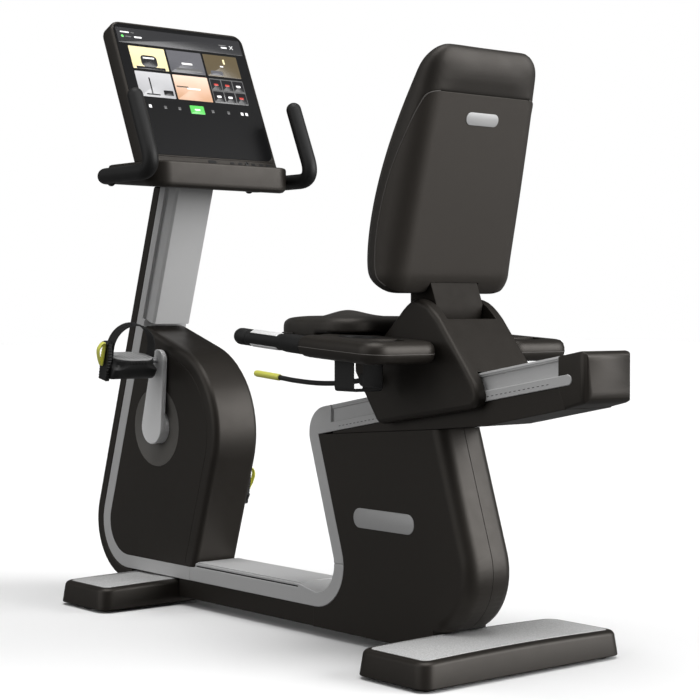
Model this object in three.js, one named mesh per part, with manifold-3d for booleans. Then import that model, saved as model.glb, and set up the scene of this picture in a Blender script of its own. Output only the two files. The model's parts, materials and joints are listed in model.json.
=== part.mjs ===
// Recumbent exercise bike, millimetres, +Z up.
// Origin: on the floor, on the middle plane, midway along the length.
// -X is the pedal and console end, +X the seat end, -Y the rider's left when seated facing -X.
import * as THREE from 'three';
import { mergeVertices } from 'three/addons/utils/BufferGeometryUtils.js';
import Module from 'manifold-3d';

// ---- Driving dimensions ----
const radians = THREE.MathUtils.degToRad;
const gap = 0.3; // clearance between touching pieces
const lean = radians(18); // column leans back, seat post leans forward
const railPitch = radians(10); // seat rail climbs towards the rear
const bodyHalf = 65; // half width of frame and shrouds
const frontShroudRound = 16; // rounding of the shrouds' free edges
const rearShroudRound = 30;
const shroudWall = 4;

const frontBend = { x: -721, z: 183 }; // centre of the frame's front bend
const rearBend = { x: 51, z: 167 }; // centre of the frame's rear bend
const coverOuter = 146; // radii about the front bend, from the outside in
const bandOuter = 116;
const bandInner = 83;
const columnBack = 54.5;
const postOuter = 100; // radii about the rear bend
const postInner = 67;
const railStart = { x: 103, z: 520 }; // a point on the rail's top edge
const railDepth = 58.6;
const railSeam = 108;
const railEnd = 793;
const bikeRear = 868;
const footHeight = { under: 7, top: 66.7, archDrop: 4.5 };
const foot = { width: 210, length: 564, corner: 30 };
const frontFootX = -595;
const rearFootX = 549;

const crank = { x: -585.5, z: 437, length: 170, angle: radians(9.6) }; // angle of the arm behind upright
const flywheel = { x: -600, z: 225, radius: 105 };
const discRadius = 100;
const pedalTilt = radians(12); // both pedals hang with the rear edge low
const armInner = 68; // crank arm lies between these distances from the middle plane
const armOuter = 82;

const tray = { rear: -372, front: -600, half: 207, bottom: 1020, top: 1085, rise: 0.0873 };
const displayLean = radians(24);
const display = { x: -428, z: 1083, half: 200, height: 392, thick: 45, corner: 28 };
const barRadius = 19;
const barY = 237;
const barZ = 1054;

const carriageHalf = 95;
const tunnelHalf = 68;
const armrest = { inner: 95.5, outer: 284, front: 213, rear: 506, bottom: 621, top: 667, rise: 0.06, level: 473 };
const gripY = 260;
const seatPlan = { front: 35, rear: 316, half: 200, bottom: 664, top: 717 };
const seatStep = { x: 214, z: 682 }; // behind this the cushion is thinner, above carriage and armrests
const backHalf = 178;
const leverY = 125;

// ---- Solids ----
const wasm = await Module();
wasm.setup();

function toSolid(geometry) {
  const bare = geometry.clone();
  bare.deleteAttribute('normal');
  bare.deleteAttribute('uv');
  const merged = mergeVertices(bare, 1e-3);
  return new wasm.Manifold(new wasm.Mesh({
    numProp: 3,
    vertProperties: new Float32Array(merged.attributes.position.array),
    triVerts: new Uint32Array(merged.index.array),
  }));
}

function toGeometry(solid) {
  const { vertProperties, triVerts } = solid.getMesh();
  const geometry = new THREE.BufferGeometry();
  geometry.setAttribute('position', new THREE.BufferAttribute(new Float32Array(vertProperties), 3));
  geometry.setIndex(new THREE.BufferAttribute(new Uint32Array(triVerts), 1));
  return geometry;
}

const join = (...pieces) => toGeometry(pieces.map(toSolid).reduce((a, b) => a.add(b)));
const cut = (piece, ...tools) => toGeometry(tools.reduce((a, b) => a.subtract(toSolid(b)), toSolid(piece)));
const common = (a, b) => toGeometry(toSolid(a).intersect(toSolid(b)));

function box(xFrom, xTo, yFrom, yTo, zFrom, zTo) {
  const geometry = new THREE.BoxGeometry(xTo - xFrom, yTo - yFrom, zTo - zFrom);
  return geometry.translate((xFrom + xTo) / 2, (yFrom + yTo) / 2, (zFrom + zTo) / 2);
}

function thicken(outline, thickness, round, curveSegments, steps = 1) {
  const geometry = new THREE.ExtrudeGeometry(outline, {
    depth: thickness - 2 * round,
    steps,
    curveSegments,
    bevelEnabled: round > 0,
    bevelThickness: round,
    bevelSize: round,
    bevelOffset: -round,
    bevelSegments: round > 8 ? 3 : 2,
  });
  return geometry.translate(0, 0, round);
}

// An outline drawn in X and Z, from yFrom to yTo.
function sidePlate(outline, yFrom, yTo, round = 0, curveSegments = 6) {
  const geometry = thicken(outline, yTo - yFrom, round, curveSegments);
  return geometry.rotateX(Math.PI / 2).translate(0, yTo, 0);
}

// An outline drawn in X and Y, from zFrom to zTo.
function planPlate(outline, zFrom, zTo, round = 0, curveSegments = 3, steps = 1) {
  return thicken(outline, zTo - zFrom, round, curveSegments, steps).translate(0, 0, zFrom);
}

// An outline drawn in Y and Z, from xFrom to xTo.
function crossPlate(outline, xFrom, xTo, round = 0, curveSegments = 4) {
  const turn = new THREE.Matrix4().makeBasis(
    new THREE.Vector3(0, 1, 0), new THREE.Vector3(0, 0, 1), new THREE.Vector3(1, 0, 0));
  return thicken(outline, xTo - xFrom, round, curveSegments).applyMatrix4(turn).translate(xFrom, 0, 0);
}

function crossRod(x, z, radius, yFrom, yTo, sides = 32) {
  const geometry = new THREE.CylinderGeometry(radius, radius, yTo - yFrom, sides);
  return geometry.translate(x, (yFrom + yTo) / 2, z);
}

// A turned piece on a crosswise axis; each profile point is [radius, y].
function crossTurned(x, z, profile, sides = 28) {
  const points = profile.map(([radius, y]) => new THREE.Vector2(radius, y));
  return new THREE.LatheGeometry(points, sides).translate(x, 0, z);
}

function circle(x, z, radius) {
  const shape = new THREE.Shape();
  shape.absarc(x, z, radius, 0, 2 * Math.PI, false);
  return shape;
}

function roundedRectangle(xFrom, xTo, yFrom, yTo, radius) {
  const shape = new THREE.Shape();
  shape.absarc(xTo - radius, yFrom + radius, radius, -Math.PI / 2, 0, false);
  shape.absarc(xTo - radius, yTo - radius, radius, 0, Math.PI / 2, false);
  shape.absarc(xFrom + radius, yTo - radius, radius, Math.PI / 2, Math.PI, false);
  shape.absarc(xFrom + radius, yFrom + radius, radius, Math.PI, 1.5 * Math.PI, false);
  shape.closePath();
  return shape;
}

function polygon(...points) {
  return new THREE.Shape(points.map(([a, b]) => new THREE.Vector2(a, b)));
}

// A path of straight runs whose corners are rounded with the given cut-back lengths.
function bentPath(points, cutBacks) {
  const path = new THREE.CurvePath();
  let from = points[0];
  for (let i = 1; i < points.length - 1; i += 1) {
    const corner = points[i];
    const before = corner.clone().add(points[i - 1].clone().sub(corner).setLength(cutBacks[i - 1]));
    const after = corner.clone().add(points[i + 1].clone().sub(corner).setLength(cutBacks[i - 1]));
    path.add(new THREE.LineCurve3(from, before));
    path.add(new THREE.QuadraticBezierCurve3(before, corner, after));
    from = after;
  }
  path.add(new THREE.LineCurve3(from, points.at(-1)));
  return path;
}

function tube(path, radius, steps, sides = 12) {
  return new THREE.ExtrudeGeometry(circle(0, 0, radius), {
    steps, curveSegments: sides / 2, bevelEnabled: false, extrudePath: path,
  });
}

// Moves each corner point of a geometry by a formula.
function reshape(geometry, move) {
  const position = geometry.attributes.position;
  const point = new THREE.Vector3();
  for (let i = 0; i < position.count; i += 1) {
    point.fromBufferAttribute(position, i);
    move(point);
    position.setXYZ(i, point.x, point.y, point.z);
  }
  return geometry;
}

// The same piece on the other side of the middle plane.
function mirrored(geometry) {
  const flipped = geometry.index ? geometry.toNonIndexed() : geometry.clone();
  const position = flipped.attributes.position;
  for (let i = 0; i < position.count; i += 3) {
    const corners = [0, 2, 1].map((k) => new THREE.Vector3().fromBufferAttribute(position, i + k));
    corners.forEach((corner, k) => position.setXYZ(i + k, corner.x, -corner.y, corner.z));
  }
  return flipped;
}

// ---- Guide lines of the frame, in X and Z ----
const ray = (x, z, angle) => ({ x, z, dx: Math.cos(angle), dz: Math.sin(angle) });
const columnLine = (radius) =>
  ray(frontBend.x - Math.cos(lean) * radius, frontBend.z + Math.sin(lean) * radius, Math.PI / 2 - lean);
const postLine = (radius) =>
  ray(rearBend.x + Math.cos(lean) * radius, rearBend.z + Math.sin(lean) * radius, Math.PI / 2 + lean);
const railLine = (depth) =>
  ray(railStart.x + depth * Math.sin(railPitch), railStart.z - depth * Math.cos(railPitch), railPitch);
const trayUnderside = ray(tray.rear, tray.bottom - gap, -Math.atan(tray.rise));
const upright = (x) => ray(x, 0, Math.PI / 2);
const levelAt = (z) => ray(0, z, 0);

function crossing(a, b) {
  const along = ((b.x - a.x) * b.dz - (b.z - a.z) * b.dx) / (a.dx * b.dz - a.dz * b.dx);
  return [a.x + along * a.dx, a.z + along * a.dz];
}

// ---- Materials ----
const finish = (color, roughness, metalness = 0) => new THREE.MeshStandardMaterial({ color, roughness, metalness });
const silver = finish(0xb4b4b4, 0.42, 0.6);
const brightMetal = finish(0xc8c8c8, 0.3, 0.9);
const darkPlastic = finish(0x38342f, 0.55);
const blackPlastic = finish(0x1c1c1c, 0.6);
const rubber = finish(0x161616, 0.85);
const upholstery = finish(0x2e2b28, 0.7);
const glassBlack = finish(0x0c0c0d, 0.08);
const steel = finish(0x8a8a8a, 0.4, 0.9);
const yellow = finish(0xd2d24a, 0.45);

const bike = new THREE.Group();
function addPart(name, geometry, material) {
  const mesh = new THREE.Mesh(geometry, material);
  mesh.name = name;
  bike.add(mesh);
}
const sides = [['left', (geometry) => geometry], ['right', mirrored]];

// ---- Frame ----
function bandOutline(outer, inner, seam) {
  const { x, z } = frontBend;
  const shape = new THREE.Shape();
  shape.absarc(x, z, outer, Math.PI - lean, 1.5 * Math.PI, false);
  shape.lineTo(seam, z - outer);
  shape.lineTo(seam, z - inner);
  shape.absarc(x, z, inner, 1.5 * Math.PI, Math.PI - lean, true);
  shape.lineTo(...crossing(columnLine(inner), trayUnderside));
  shape.lineTo(...crossing(columnLine(outer), trayUnderside));
  shape.closePath();
  return shape;
}

const baseSeam = -442;
const shroudTopZ = 703; // where the shroud's top line meets the band

// One aluminium column: the bent band in front and, above the shroud, a narrower box profile behind
// it. Where they meet, a step along each side cuts into the band.
function frontFrame() {
  const band = sidePlate(bandOutline(bandOuter, bandInner, baseSeam), -bodyHalf, bodyHalf, 0, 8);
  const foot = crossing(columnLine(bandInner), levelAt(shroudTopZ));
  const run = 420;
  const back = bandInner - columnBack;
  const half = [[-12, bodyHalf - 9], [back - 6, bodyHalf - 9], [back, bodyHalf - 15]];
  const section = polygon(...half, ...half.toReversed().map(([across, width]) => [across, -width]));
  const upColumn = (geometry) => geometry.rotateY(lean).translate(foot[0], 0, foot[1]);
  const profile = upColumn(new THREE.ExtrudeGeometry(section, { depth: run, bevelEnabled: false }));
  const step = upColumn(box(-10, 1, -bodyHalf - 1, 9 - bodyHalf, 3, run + 60));
  const aboveTray = sidePlate(polygon(
    crossing(columnLine(bandOuter + 60), trayUnderside), crossing(columnLine(columnBack - 60), trayUnderside),
    [-300, 1500], [-900, 1500]), -200, 200);
  return join(cut(band, step, mirrored(step)), cut(profile, aboveTray));
}

function columnCover() {
  const { x, z } = frontBend;
  const inner = bandOuter + gap;
  const end = frontFootX - foot.width / 2 - 2;
  const shape = new THREE.Shape();
  shape.absarc(x, z, coverOuter, Math.PI - lean, 1.5 * Math.PI, false);
  shape.lineTo(end, z - coverOuter);
  shape.lineTo(end, z - inner);
  shape.absarc(x, z, inner, 1.5 * Math.PI, Math.PI - lean, true);
  shape.lineTo(...crossing(columnLine(inner), trayUnderside));
  shape.lineTo(...crossing(columnLine(coverOuter), trayUnderside));
  shape.closePath();
  return sidePlate(shape, -bodyHalf, bodyHalf, 0, 8);
}

// Base rail with its groove below the tread, ending part way up the rear bend.
function baseRail() {
  const { x, z } = rearBend;
  const seamAngle = radians(3);
  const treadTop = z - postInner + 12;
  const treadFront = baseSeam + 28;
  const shape = new THREE.Shape();
  shape.absarc(x, z, postOuter, -Math.PI / 2, seamAngle, false);
  shape.absarc(x, z, postInner, seamAngle, -Math.PI / 2, true);
  shape.lineTo(x - 60, treadTop);
  shape.lineTo(treadFront, treadTop);
  shape.lineTo(treadFront - 6, z - postInner);
  shape.lineTo(baseSeam + gap, z - postInner);
  shape.lineTo(baseSeam + gap, z - postOuter);
  shape.closePath();
  const rail = sidePlate(shape, -bodyHalf, bodyHalf, 0, 6);
  const groove = box(treadFront, x - 62, bodyHalf - 3, bodyHalf + 1, z - postInner + 3, z - postInner + 6);
  return cut(rail, groove, mirrored(groove));
}

const baseCoverEnd = 45;
const baseCoverBottom = 22;
const baseCover = () => box(
  frontFootX + foot.width / 2 + 1, baseCoverEnd - gap, 2 - bodyHalf, bodyHalf - 2,
  baseCoverBottom, rearBend.z - postOuter - gap);

function seatPost() {
  const { x, z } = rearBend;
  const bendRadius = 60;
  const seamAngle = radians(3) + gap / postInner;
  const centre = crossing(postLine(postInner + bendRadius), railLine(bendRadius));
  const seam = upright(railSeam);
  const shape = new THREE.Shape();
  shape.absarc(x, z, postOuter, seamAngle, lean, false);
  shape.lineTo(...crossing(postLine(postOuter), railLine(railDepth)));
  shape.lineTo(...crossing(seam, railLine(railDepth)));
  shape.lineTo(...crossing(seam, railLine(0)));
  shape.absarc(...centre, bendRadius, Math.PI / 2 + railPitch, Math.PI + lean, false);
  shape.absarc(x, z, postInner, lean, seamAngle, true);
  shape.closePath();
  return sidePlate(shape, -bodyHalf, bodyHalf, 0, 6);
}

function railStrip(top, bottom, from, to) {
  return polygon(
    crossing(upright(from), railLine(top)), crossing(upright(from), railLine(bottom)),
    crossing(upright(to), railLine(bottom)), crossing(upright(to), railLine(top)));
}

const ribTop = 38; // depth of the rack rib's upper edge below the rail's top
const ribEnd = 818;

function ribs(clearance) {
  const outer = -bodyHalf - 2.5 - clearance;
  const [endX, endZ] = crossing(upright(ribEnd), railLine((ribTop + railDepth) / 2));
  const radius = (railDepth - ribTop) / 2 + clearance;
  const strip = sidePlate(
    railStrip(ribTop - clearance, railDepth + clearance, railSeam + gap, ribEnd), outer, -58);
  const end = crossRod(endX, endZ, radius, outer, -58, 24);
  const rib = join(strip, end);
  return [rib, mirrored(rib)];
}

function seatRail() {
  const web = sidePlate(railStrip(6, railDepth, railSeam + gap, railEnd), -58.5, 58.5);
  const head = sidePlate(railStrip(0, 9, railSeam + gap, railEnd), -62, 62);
  return join(web, head, ...ribs(0));
}

function underCover() {
  const top = railLine(railDepth + gap);
  const outline = polygon([112, 457.3], [446, 483.9], [593, 498], [812, 540.5],
    crossing(upright(railEnd), top), crossing(upright(118), top));
  return cut(sidePlate(outline, -bodyHalf, bodyHalf, 0), ...ribs(gap));
}

function endCap() {
  const outline = new THREE.Shape();
  outline.moveTo(...crossing(upright(railEnd + 2 * gap), railLine(0)));
  outline.lineTo(...crossing(upright(railEnd + 2 * gap), railLine(railDepth + gap)));
  outline.lineTo(812.8, 541);
  outline.lineTo(bikeRear - 14, 552);
  outline.quadraticCurveTo(bikeRear, 555, bikeRear, 570);
  outline.lineTo(bikeRear - 4, 642);
  outline.quadraticCurveTo(bikeRear - 6, 654, bikeRear - 18, 653);
  outline.closePath();
  const body = sidePlate(outline, -66, 66, 5);
  const corners = planPlate(roundedRectangle(700, bikeRear, -66, 66, 18), 500, 700);
  return cut(common(body, corners), ...ribs(gap));
}

function footBody(centreX) {
  const half = foot.length / 2;
  const plan = roundedRectangle(-foot.width / 2, foot.width / 2, -half, half, foot.corner);
  const middle = (footHeight.under + footHeight.top) / 2;
  const body = planPlate(plan, footHeight.under, footHeight.top, 9);
  reshape(body, (p) => {
    if (p.z > middle) p.z -= footHeight.archDrop * (p.y / half) ** 2;
  });
  return body.translate(centreX, 0, 0);
}

function footPad(x, y) {
  const pad = new THREE.CylinderGeometry(24, 26, footHeight.under - gap, 24);
  return pad.rotateX(Math.PI / 2).translate(x, y, (footHeight.under - gap) / 2);
}

// ---- Shrouds ----
const shroudArc = { x: -550, z: 429, radius: 220 };

function frontShroudOutline(inset) {
  const { x, z, radius } = shroudArc;
  const reach = radius - inset;
  const inner = bandInner - gap - inset;
  const top = ray(x + reach * Math.sin(lean), z + reach * Math.cos(lean), Math.PI - lean);
  const under = ray(x + reach * Math.cos(lean), z - reach * Math.sin(lean), Math.PI / 2 - lean);
  const shape = new THREE.Shape();
  shape.absarc(frontBend.x, frontBend.z, inner, Math.PI - lean, 1.5 * Math.PI, false);
  shape.lineTo(...crossing(under, levelAt(frontBend.z - inner)));
  shape.absarc(x, z, reach, -lean, Math.PI / 2 - lean, false);
  shape.lineTo(...crossing(top, columnLine(inner)));
  shape.closePath();
  return shape;
}

// The same curve carried on past the frame, so that only its free edge is rounded.
function frontShroudSweep(inset) {
  const { x, z, radius } = shroudArc;
  const reach = radius - inset;
  const top = ray(x + reach * Math.sin(lean), z + reach * Math.cos(lean), Math.PI - lean);
  const under = ray(x + reach * Math.cos(lean), z - reach * Math.sin(lean), Math.PI / 2 - lean);
  const shape = new THREE.Shape();
  shape.absarc(x, z, reach, -lean, Math.PI / 2 - lean, false);
  shape.lineTo(...crossing(top, upright(-900)));
  shape.lineTo(-900, -60);
  shape.lineTo(...crossing(under, levelAt(-60)));
  shape.closePath();
  return shape;
}

const rearArc = { x: 414, z: 190, radius: 138 };
const footClear = footHeight.top + 1;

function rearShroudOutline(inset) {
  const outer = postOuter + gap + inset;
  const step = rearFootX - foot.width / 2 - 1.5 - inset;
  const bottom = baseCoverBottom + inset;
  const back = ray(
    rearArc.x + (rearArc.radius - inset) * Math.cos(lean), rearArc.z + (rearArc.radius - inset) * Math.sin(lean),
    Math.PI / 2 + lean);
  const roof = ray(413, 481 - inset, Math.atan2(24, 301));
  const shape = new THREE.Shape();
  shape.moveTo(baseCoverEnd + inset, bottom);
  shape.lineTo(step, bottom);
  shape.lineTo(step, footClear + inset);
  const start = -Math.asin((rearArc.z - footClear - inset) / (rearArc.radius - inset));
  shape.absarc(rearArc.x, rearArc.z, rearArc.radius - inset, start, lean, false);
  shape.lineTo(...crossing(back, roof));
  shape.lineTo(...crossing(roof, postLine(outer)));
  shape.absarc(rearBend.x, rearBend.z, outer, lean, -Math.PI / 2, true);
  shape.lineTo(baseCoverEnd + inset, rearBend.z - outer);
  shape.closePath();
  return shape;
}

function rearShroudSweep(inset) {
  const reach = rearArc.radius - inset;
  const back = ray(
    rearArc.x + reach * Math.cos(lean), rearArc.z + reach * Math.sin(lean), Math.PI / 2 + lean);
  const start = radians(-60);
  const shape = new THREE.Shape();
  shape.absarc(rearArc.x, rearArc.z, reach, start, lean, false);
  shape.lineTo(...crossing(back, levelAt(650)));
  shape.lineTo(-200, 650);
  shape.lineTo(-200, -60);
  shape.lineTo(rearArc.x + reach * Math.cos(start), -60);
  shape.closePath();
  return shape;
}

// The rounded solid that a shroud encloses, up to yTo.
const shroudSolid = (outline, sweep, round, yTo) => (inset) => common(
  sidePlate(outline(inset), -bodyHalf, yTo + inset, 0, 8),
  sidePlate(sweep(inset), inset - bodyHalf, bodyHalf - inset, round - inset, 8));

// A hollow half of the rear shroud, open along the middle plane.
function rearShroudHalf() {
  const solidHalf = shroudSolid(rearShroudOutline, rearShroudSweep, rearShroudRound, -gap / 2);
  return cut(solidHalf(0), solidHalf(shroudWall));
}

// The front shroud is a wrap along the free edge with a flat panel let into each side.
const partingInset = 36;

function frontShroudWrap() {
  const solid = shroudSolid(frontShroudOutline, frontShroudSweep, frontShroudRound, bodyHalf);
  const window = sidePlate(frontShroudSweep(partingInset), -80, gap + shroudWall - bodyHalf, 0, 8);
  return cut(solid(0), solid(shroudWall), window, mirrored(window));
}

function frontShroudPanel() {
  const plate = sidePlate(frontShroudOutline(0), -bodyHalf, shroudWall - bodyHalf, 0, 8);
  const region = sidePlate(frontShroudSweep(partingInset + gap), -80, -50, 0, 8);
  return cut(common(plate, region), crossRod(crank.x, crank.z, discRadius, -80, -20, 40));
}

// ---- Drive ----
function hullOfCircles(x1, z1, r1, x2, z2, r2) {
  const distance = Math.hypot(x2 - x1, z2 - z1);
  const heading = Math.atan2(z2 - z1, x2 - x1);
  const spread = Math.acos((r1 - r2) / distance);
  const shape = new THREE.Shape();
  shape.absarc(x1, z1, r1, heading + spread, heading - spread + 2 * Math.PI, false);
  shape.absarc(x2, z2, r2, heading - spread, heading + spread, false);
  shape.closePath();
  return shape;
}

const axleRadius = 8.5;
const flywheelShaft = 8;

function driveBracket() {
  const plate = sidePlate(hullOfCircles(crank.x, crank.z, 42, flywheel.x, flywheel.z, 30), -47, -42);
  const sleeve = crossTurned(crank.x, crank.z, [[18, -46], [24, -46], [24, 46], [18, 46], [18, -46]], 24);
  const shape = cut(join(plate, mirrored(plate), sleeve),
    crossRod(crank.x, crank.z, 18, -50, 50, 24), crossRod(flywheel.x, flywheel.z, flywheelShaft + gap, -50, 50, 16));
  return shape;
}

const bearing = () => crossTurned(crank.x, crank.z,
  [[axleRadius + gap, -46.5], [17.7, -46.5], [17.7, -36], [axleRadius + gap, -36], [axleRadius + gap, -46.5]], 24);

const pulleyY = 18; // the belt runs beside the bearing sleeve, between these planes
const pulleyWidth = 12;

function drivePulley() {
  const rim = 84;
  const profile = [
    [24.6, pulleyY], [rim, pulleyY], [rim, pulleyY + pulleyWidth], [rim - 8, pulleyY + pulleyWidth],
    [rim - 8, pulleyY + 5], [24.6, pulleyY + 5], [24.6, pulleyY]];
  return crossTurned(crank.x, crank.z, profile);
}

function driveBelt() {
  const ring = (extra) => sidePlate(
    hullOfCircles(crank.x, crank.z, 84 + extra, flywheel.x, flywheel.z, 24 + extra),
    pulleyY + 1, pulleyY + pulleyWidth - 1, 0, 9);
  return cut(ring(4), ring(1));
}

// The flywheel, its small belt pulley and its shaft turn as one.
function flywheelDisc() {
  return crossTurned(flywheel.x, flywheel.z, [
    [0, -52], [flywheelShaft, -52], [flywheelShaft, -34], [30, -34], [30, -26], [flywheel.radius, -30],
    [flywheel.radius, 0], [30, -4], [30, pulleyY], [24, pulleyY], [24, pulleyY + pulleyWidth],
    [flywheelShaft, pulleyY + pulleyWidth], [flywheelShaft, 52], [0, 52]], 24);
}

// ---- Crank and pedals ----
const pedalAxis = {
  x: crank.x + crank.length * Math.sin(crank.angle), z: crank.z + crank.length * Math.cos(crank.angle),
};

function crankArm() {
  const bladeOutline = hullOfCircles(crank.x, crank.z, 43, pedalAxis.x, pedalAxis.z, 27);
  const blade = sidePlate(bladeOutline, -armOuter, -armInner, 3, 7);
  const hub = crossRod(crank.x, crank.z, 42, -armInner - 3, -52, 28);
  return join(blade, hub);
}

function crankDisc() {
  const rim = discRadius - 0.5;
  return crossTurned(crank.x, crank.z, [
    [44, -56], [rim - 18, -62], [rim, -65], [rim, -61], [rim - 18, -58.5], [44, -53], [44, -56]], 32);
}

const pedal = { half: 46, inner: 100, outer: 225, plate: 236, top: 11 }; // top above its spindle

function pedalBody() {
  const { half, inner, outer, plate, top } = pedal;
  const outline = new THREE.Shape();
  outline.moveTo(-half, top);
  outline.lineTo(-half + 2, -12);
  outline.quadraticCurveTo(-half + 10, -38, -half + 24, -40);
  outline.lineTo(half - 24, -40);
  outline.quadraticCurveTo(half - 10, -38, half - 2, -12);
  outline.lineTo(half, top);
  outline.closePath();
  const body = sidePlate(outline, -outer - 2, -inner, 0, 4);
  const flange = new THREE.Shape();
  flange.moveTo(-17, -46);
  flange.lineTo(17, -46);
  flange.lineTo(19, 8);
  flange.lineTo(13, 50);
  flange.lineTo(-13, 50);
  flange.lineTo(-19, 8);
  flange.closePath();
  const bore = crossRod(0, 0, 7.6, -220, -50, 20);
  return cut(join(body, sidePlate(flange, -plate, -outer, 2, 4)), bore);
}

function pedalSpindle() {
  return crossRod(pedalAxis.x, pedalAxis.z, 7, -214, -armOuter - gap, 20);
}

function pedalStrap() {
  const { inner, outer, top } = pedal;
  const thickness = 3;
  const base = top + gap;
  const middle = -(inner + outer) / 2;
  const span = (outer - inner) / 2 - 2;
  const shape = new THREE.Shape();
  shape.moveTo(middle + span, base);
  shape.lineTo(middle + span, 34);
  shape.absellipse(middle, 34, span, 60, 0, Math.PI, false);
  shape.lineTo(middle - span, base);
  shape.lineTo(middle - span + thickness, base);
  shape.lineTo(middle - span + thickness, 34);
  shape.absellipse(middle, 34, span - thickness, 60 - thickness, Math.PI, 0, true);
  shape.lineTo(middle + span - thickness, base);
  shape.closePath();
  return crossPlate(shape, -16, 16, 0, 6);
}

function strapBuckle() {
  const loop = (inset) => {
    const shape = new THREE.Shape();
    shape.moveTo(-237 - inset, 46 - inset);
    shape.quadraticCurveTo(-246, 54 - inset, -256 + inset, 34);
    shape.quadraticCurveTo(-260 + inset, 20, -246, -8 + 1.6 * inset);
    shape.quadraticCurveTo(-241, -14 + 1.6 * inset, -239 - inset, -4 + inset);
    shape.closePath();
    return shape;
  };
  return cut(crossPlate(loop(0), -6, 6, 0, 5), crossPlate(loop(4), -7, 7, 0, 5));
}

// ---- Console ----
function consoleTray() {
  const plan = new THREE.Shape();
  const { rear, front, half } = tray;
  plan.absarc(rear - 50, -half + 50, 50, -Math.PI / 2, 0, false);
  plan.absarc(rear - 50, half - 50, 50, 0, Math.PI / 2, false);
  plan.absarc(front + 30, half - 30, 30, Math.PI / 2, Math.PI, false);
  plan.absarc(front + 30, -half + 30, 30, Math.PI, 1.5 * Math.PI, false);
  plan.closePath();
  const softBelow = planPlate(plan, tray.bottom, tray.top + 20, 16, 4);
  const softAbove = planPlate(plan, tray.bottom - 20, tray.top, 6, 4);
  const body = common(softBelow, softAbove);
  const middle = (tray.bottom + tray.top) / 2;
  return reshape(body, (p) => {
    if (p.z < middle) p.z += tray.rise * (rear - p.x);
  });
}

// Turns a piece drawn with width along X, height along Y and depth towards the rider along Z
// into the leaning plane of the display.
function leaned(geometry) {
  const across = new THREE.Vector3(0, 1, 0);
  const up = new THREE.Vector3(-Math.sin(displayLean), 0, Math.cos(displayLean));
  const out = new THREE.Vector3(Math.cos(displayLean), 0, Math.sin(displayLean));
  const turn = new THREE.Matrix4().makeBasis(across, up, out);
  return geometry.applyMatrix4(turn).translate(display.x, 0, display.z);
}

const glassInset = { side: 7, top: 7, bottom: 24, depth: 3 };

function glassOutline(clearance) {
  const { half, height, corner } = display;
  const { side, top, bottom } = glassInset;
  return roundedRectangle(side - half + clearance, half - side - clearance, bottom + clearance,
    height - top - clearance, corner - side);
}

function displayHousing() {
  const { half, height, thick, corner } = display;
  const outline = roundedRectangle(-half, half, -40, height, corner);
  const shell = leaned(planPlate(outline, -thick, 0, 6));
  const pocket = leaned(planPlate(glassOutline(0), -glassInset.depth, 5));
  return cut(shell, pocket, box(-700, -200, -300, 300, 900, tray.top + gap));
}

const displayGlass = () => leaned(planPlate(glassOutline(gap), gap - glassInset.depth, -0.4));

function handlebar() {
  const rise = ray(-351, 1100, Math.PI / 2 + displayLean);
  const [cornerX] = crossing(rise, levelAt(barZ));
  const [topX, topZ] = crossing(rise, levelAt(1236));
  const path = bentPath([
    new THREE.Vector3(-563, -tray.half - gap, barZ), new THREE.Vector3(-563, -barY, barZ),
    new THREE.Vector3(cornerX, -barY, barZ), new THREE.Vector3(topX, -barY, topZ)], [28, 58]);
  const cap = new THREE.SphereGeometry(barRadius, 12, 8).translate(topX, -barY, topZ);
  return join(tube(path, barRadius, 20), cap);
}

// ---- Seat carriage ----
const carriageTop = railLine(-3);

function carriageOutline() {
  const shape = new THREE.Shape();
  shape.moveTo(316, 490);
  shape.lineTo(576, 531);
  shape.quadraticCurveTo(603, 537, 600, 562);
  shape.lineTo(592, 585);
  shape.lineTo(488, 712);
  shape.quadraticCurveTo(450, 752, 420, 752);
  shape.quadraticCurveTo(396, 752, 361, 716);
  shape.lineTo(306, 668 - 2);
  shape.lineTo(240, 662);
  shape.quadraticCurveTo(222, 656, 222, 640);
  shape.lineTo(222, 597);
  shape.lineTo(250, 556);
  shape.lineTo(290, 500);
  shape.quadraticCurveTo(298, 488, 316, 490);
  return shape;
}

// The post leans back out of the carriage, then bends forward into the backrest.
const post = { half: 67, depth: 80, bottom: 640, top: 815 };

function postOutline(clearance, bottom, top) {
  const rear = [[429, bottom], [448, 711], [452, 742], [431, 795], [431, top]];
  const front = [[429, bottom], [448, 711], [452, 742], [452, 795], [452, top]];
  return polygon(
    ...rear.map(([x, z]) => [x + clearance, z]),
    ...front.toReversed().map(([x, z]) => [x - post.depth - clearance, z]));
}

function carriageShell() {
  const body = sidePlate(carriageOutline(), -carriageHalf, carriageHalf, 10, 5);
  const tunnel = sidePlate(polygon(
    [150, 380], [700, 380], crossing(upright(700), carriageTop), crossing(upright(150), carriageTop)),
  -tunnelHalf, tunnelHalf);
  const cavity = sidePlate(polygon(
    crossing(upright(300), railLine(0)), crossing(upright(548), railLine(0)), [476, 704], [446, 738], [408, 740],
    [362, 712], [350, 690], [320, 655]), -tunnelHalf, tunnelHalf);
  const slot = box(300, 700, -post.half - 2, post.half + 2, 711, 900);
  return join(cut(body, tunnel, cavity, slot), carriageBlock());
}

const pinX = 430;

function lockPinGeometry(radius, from, to) {
  const [x, z] = crossing(upright(pinX), railLine(0));
  const pin = new THREE.CylinderGeometry(radius, radius, to - from, 20).rotateX(Math.PI / 2);
  return pin.translate(0, 0, (from + to) / 2).rotateY(-railPitch).translate(x, 0, z);
}

// An inner cross wall that guides the lock pin.
function carriageBlock() {
  const block = sidePlate(railStrip(-3, -22, 335, 520), -tunnelHalf - 1, tunnelHalf + 1);
  return cut(block, lockPinGeometry(7, -10, 60));
}

const backPost = () => sidePlate(postOutline(0, post.bottom, post.top), -post.half, post.half, 3);

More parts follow.
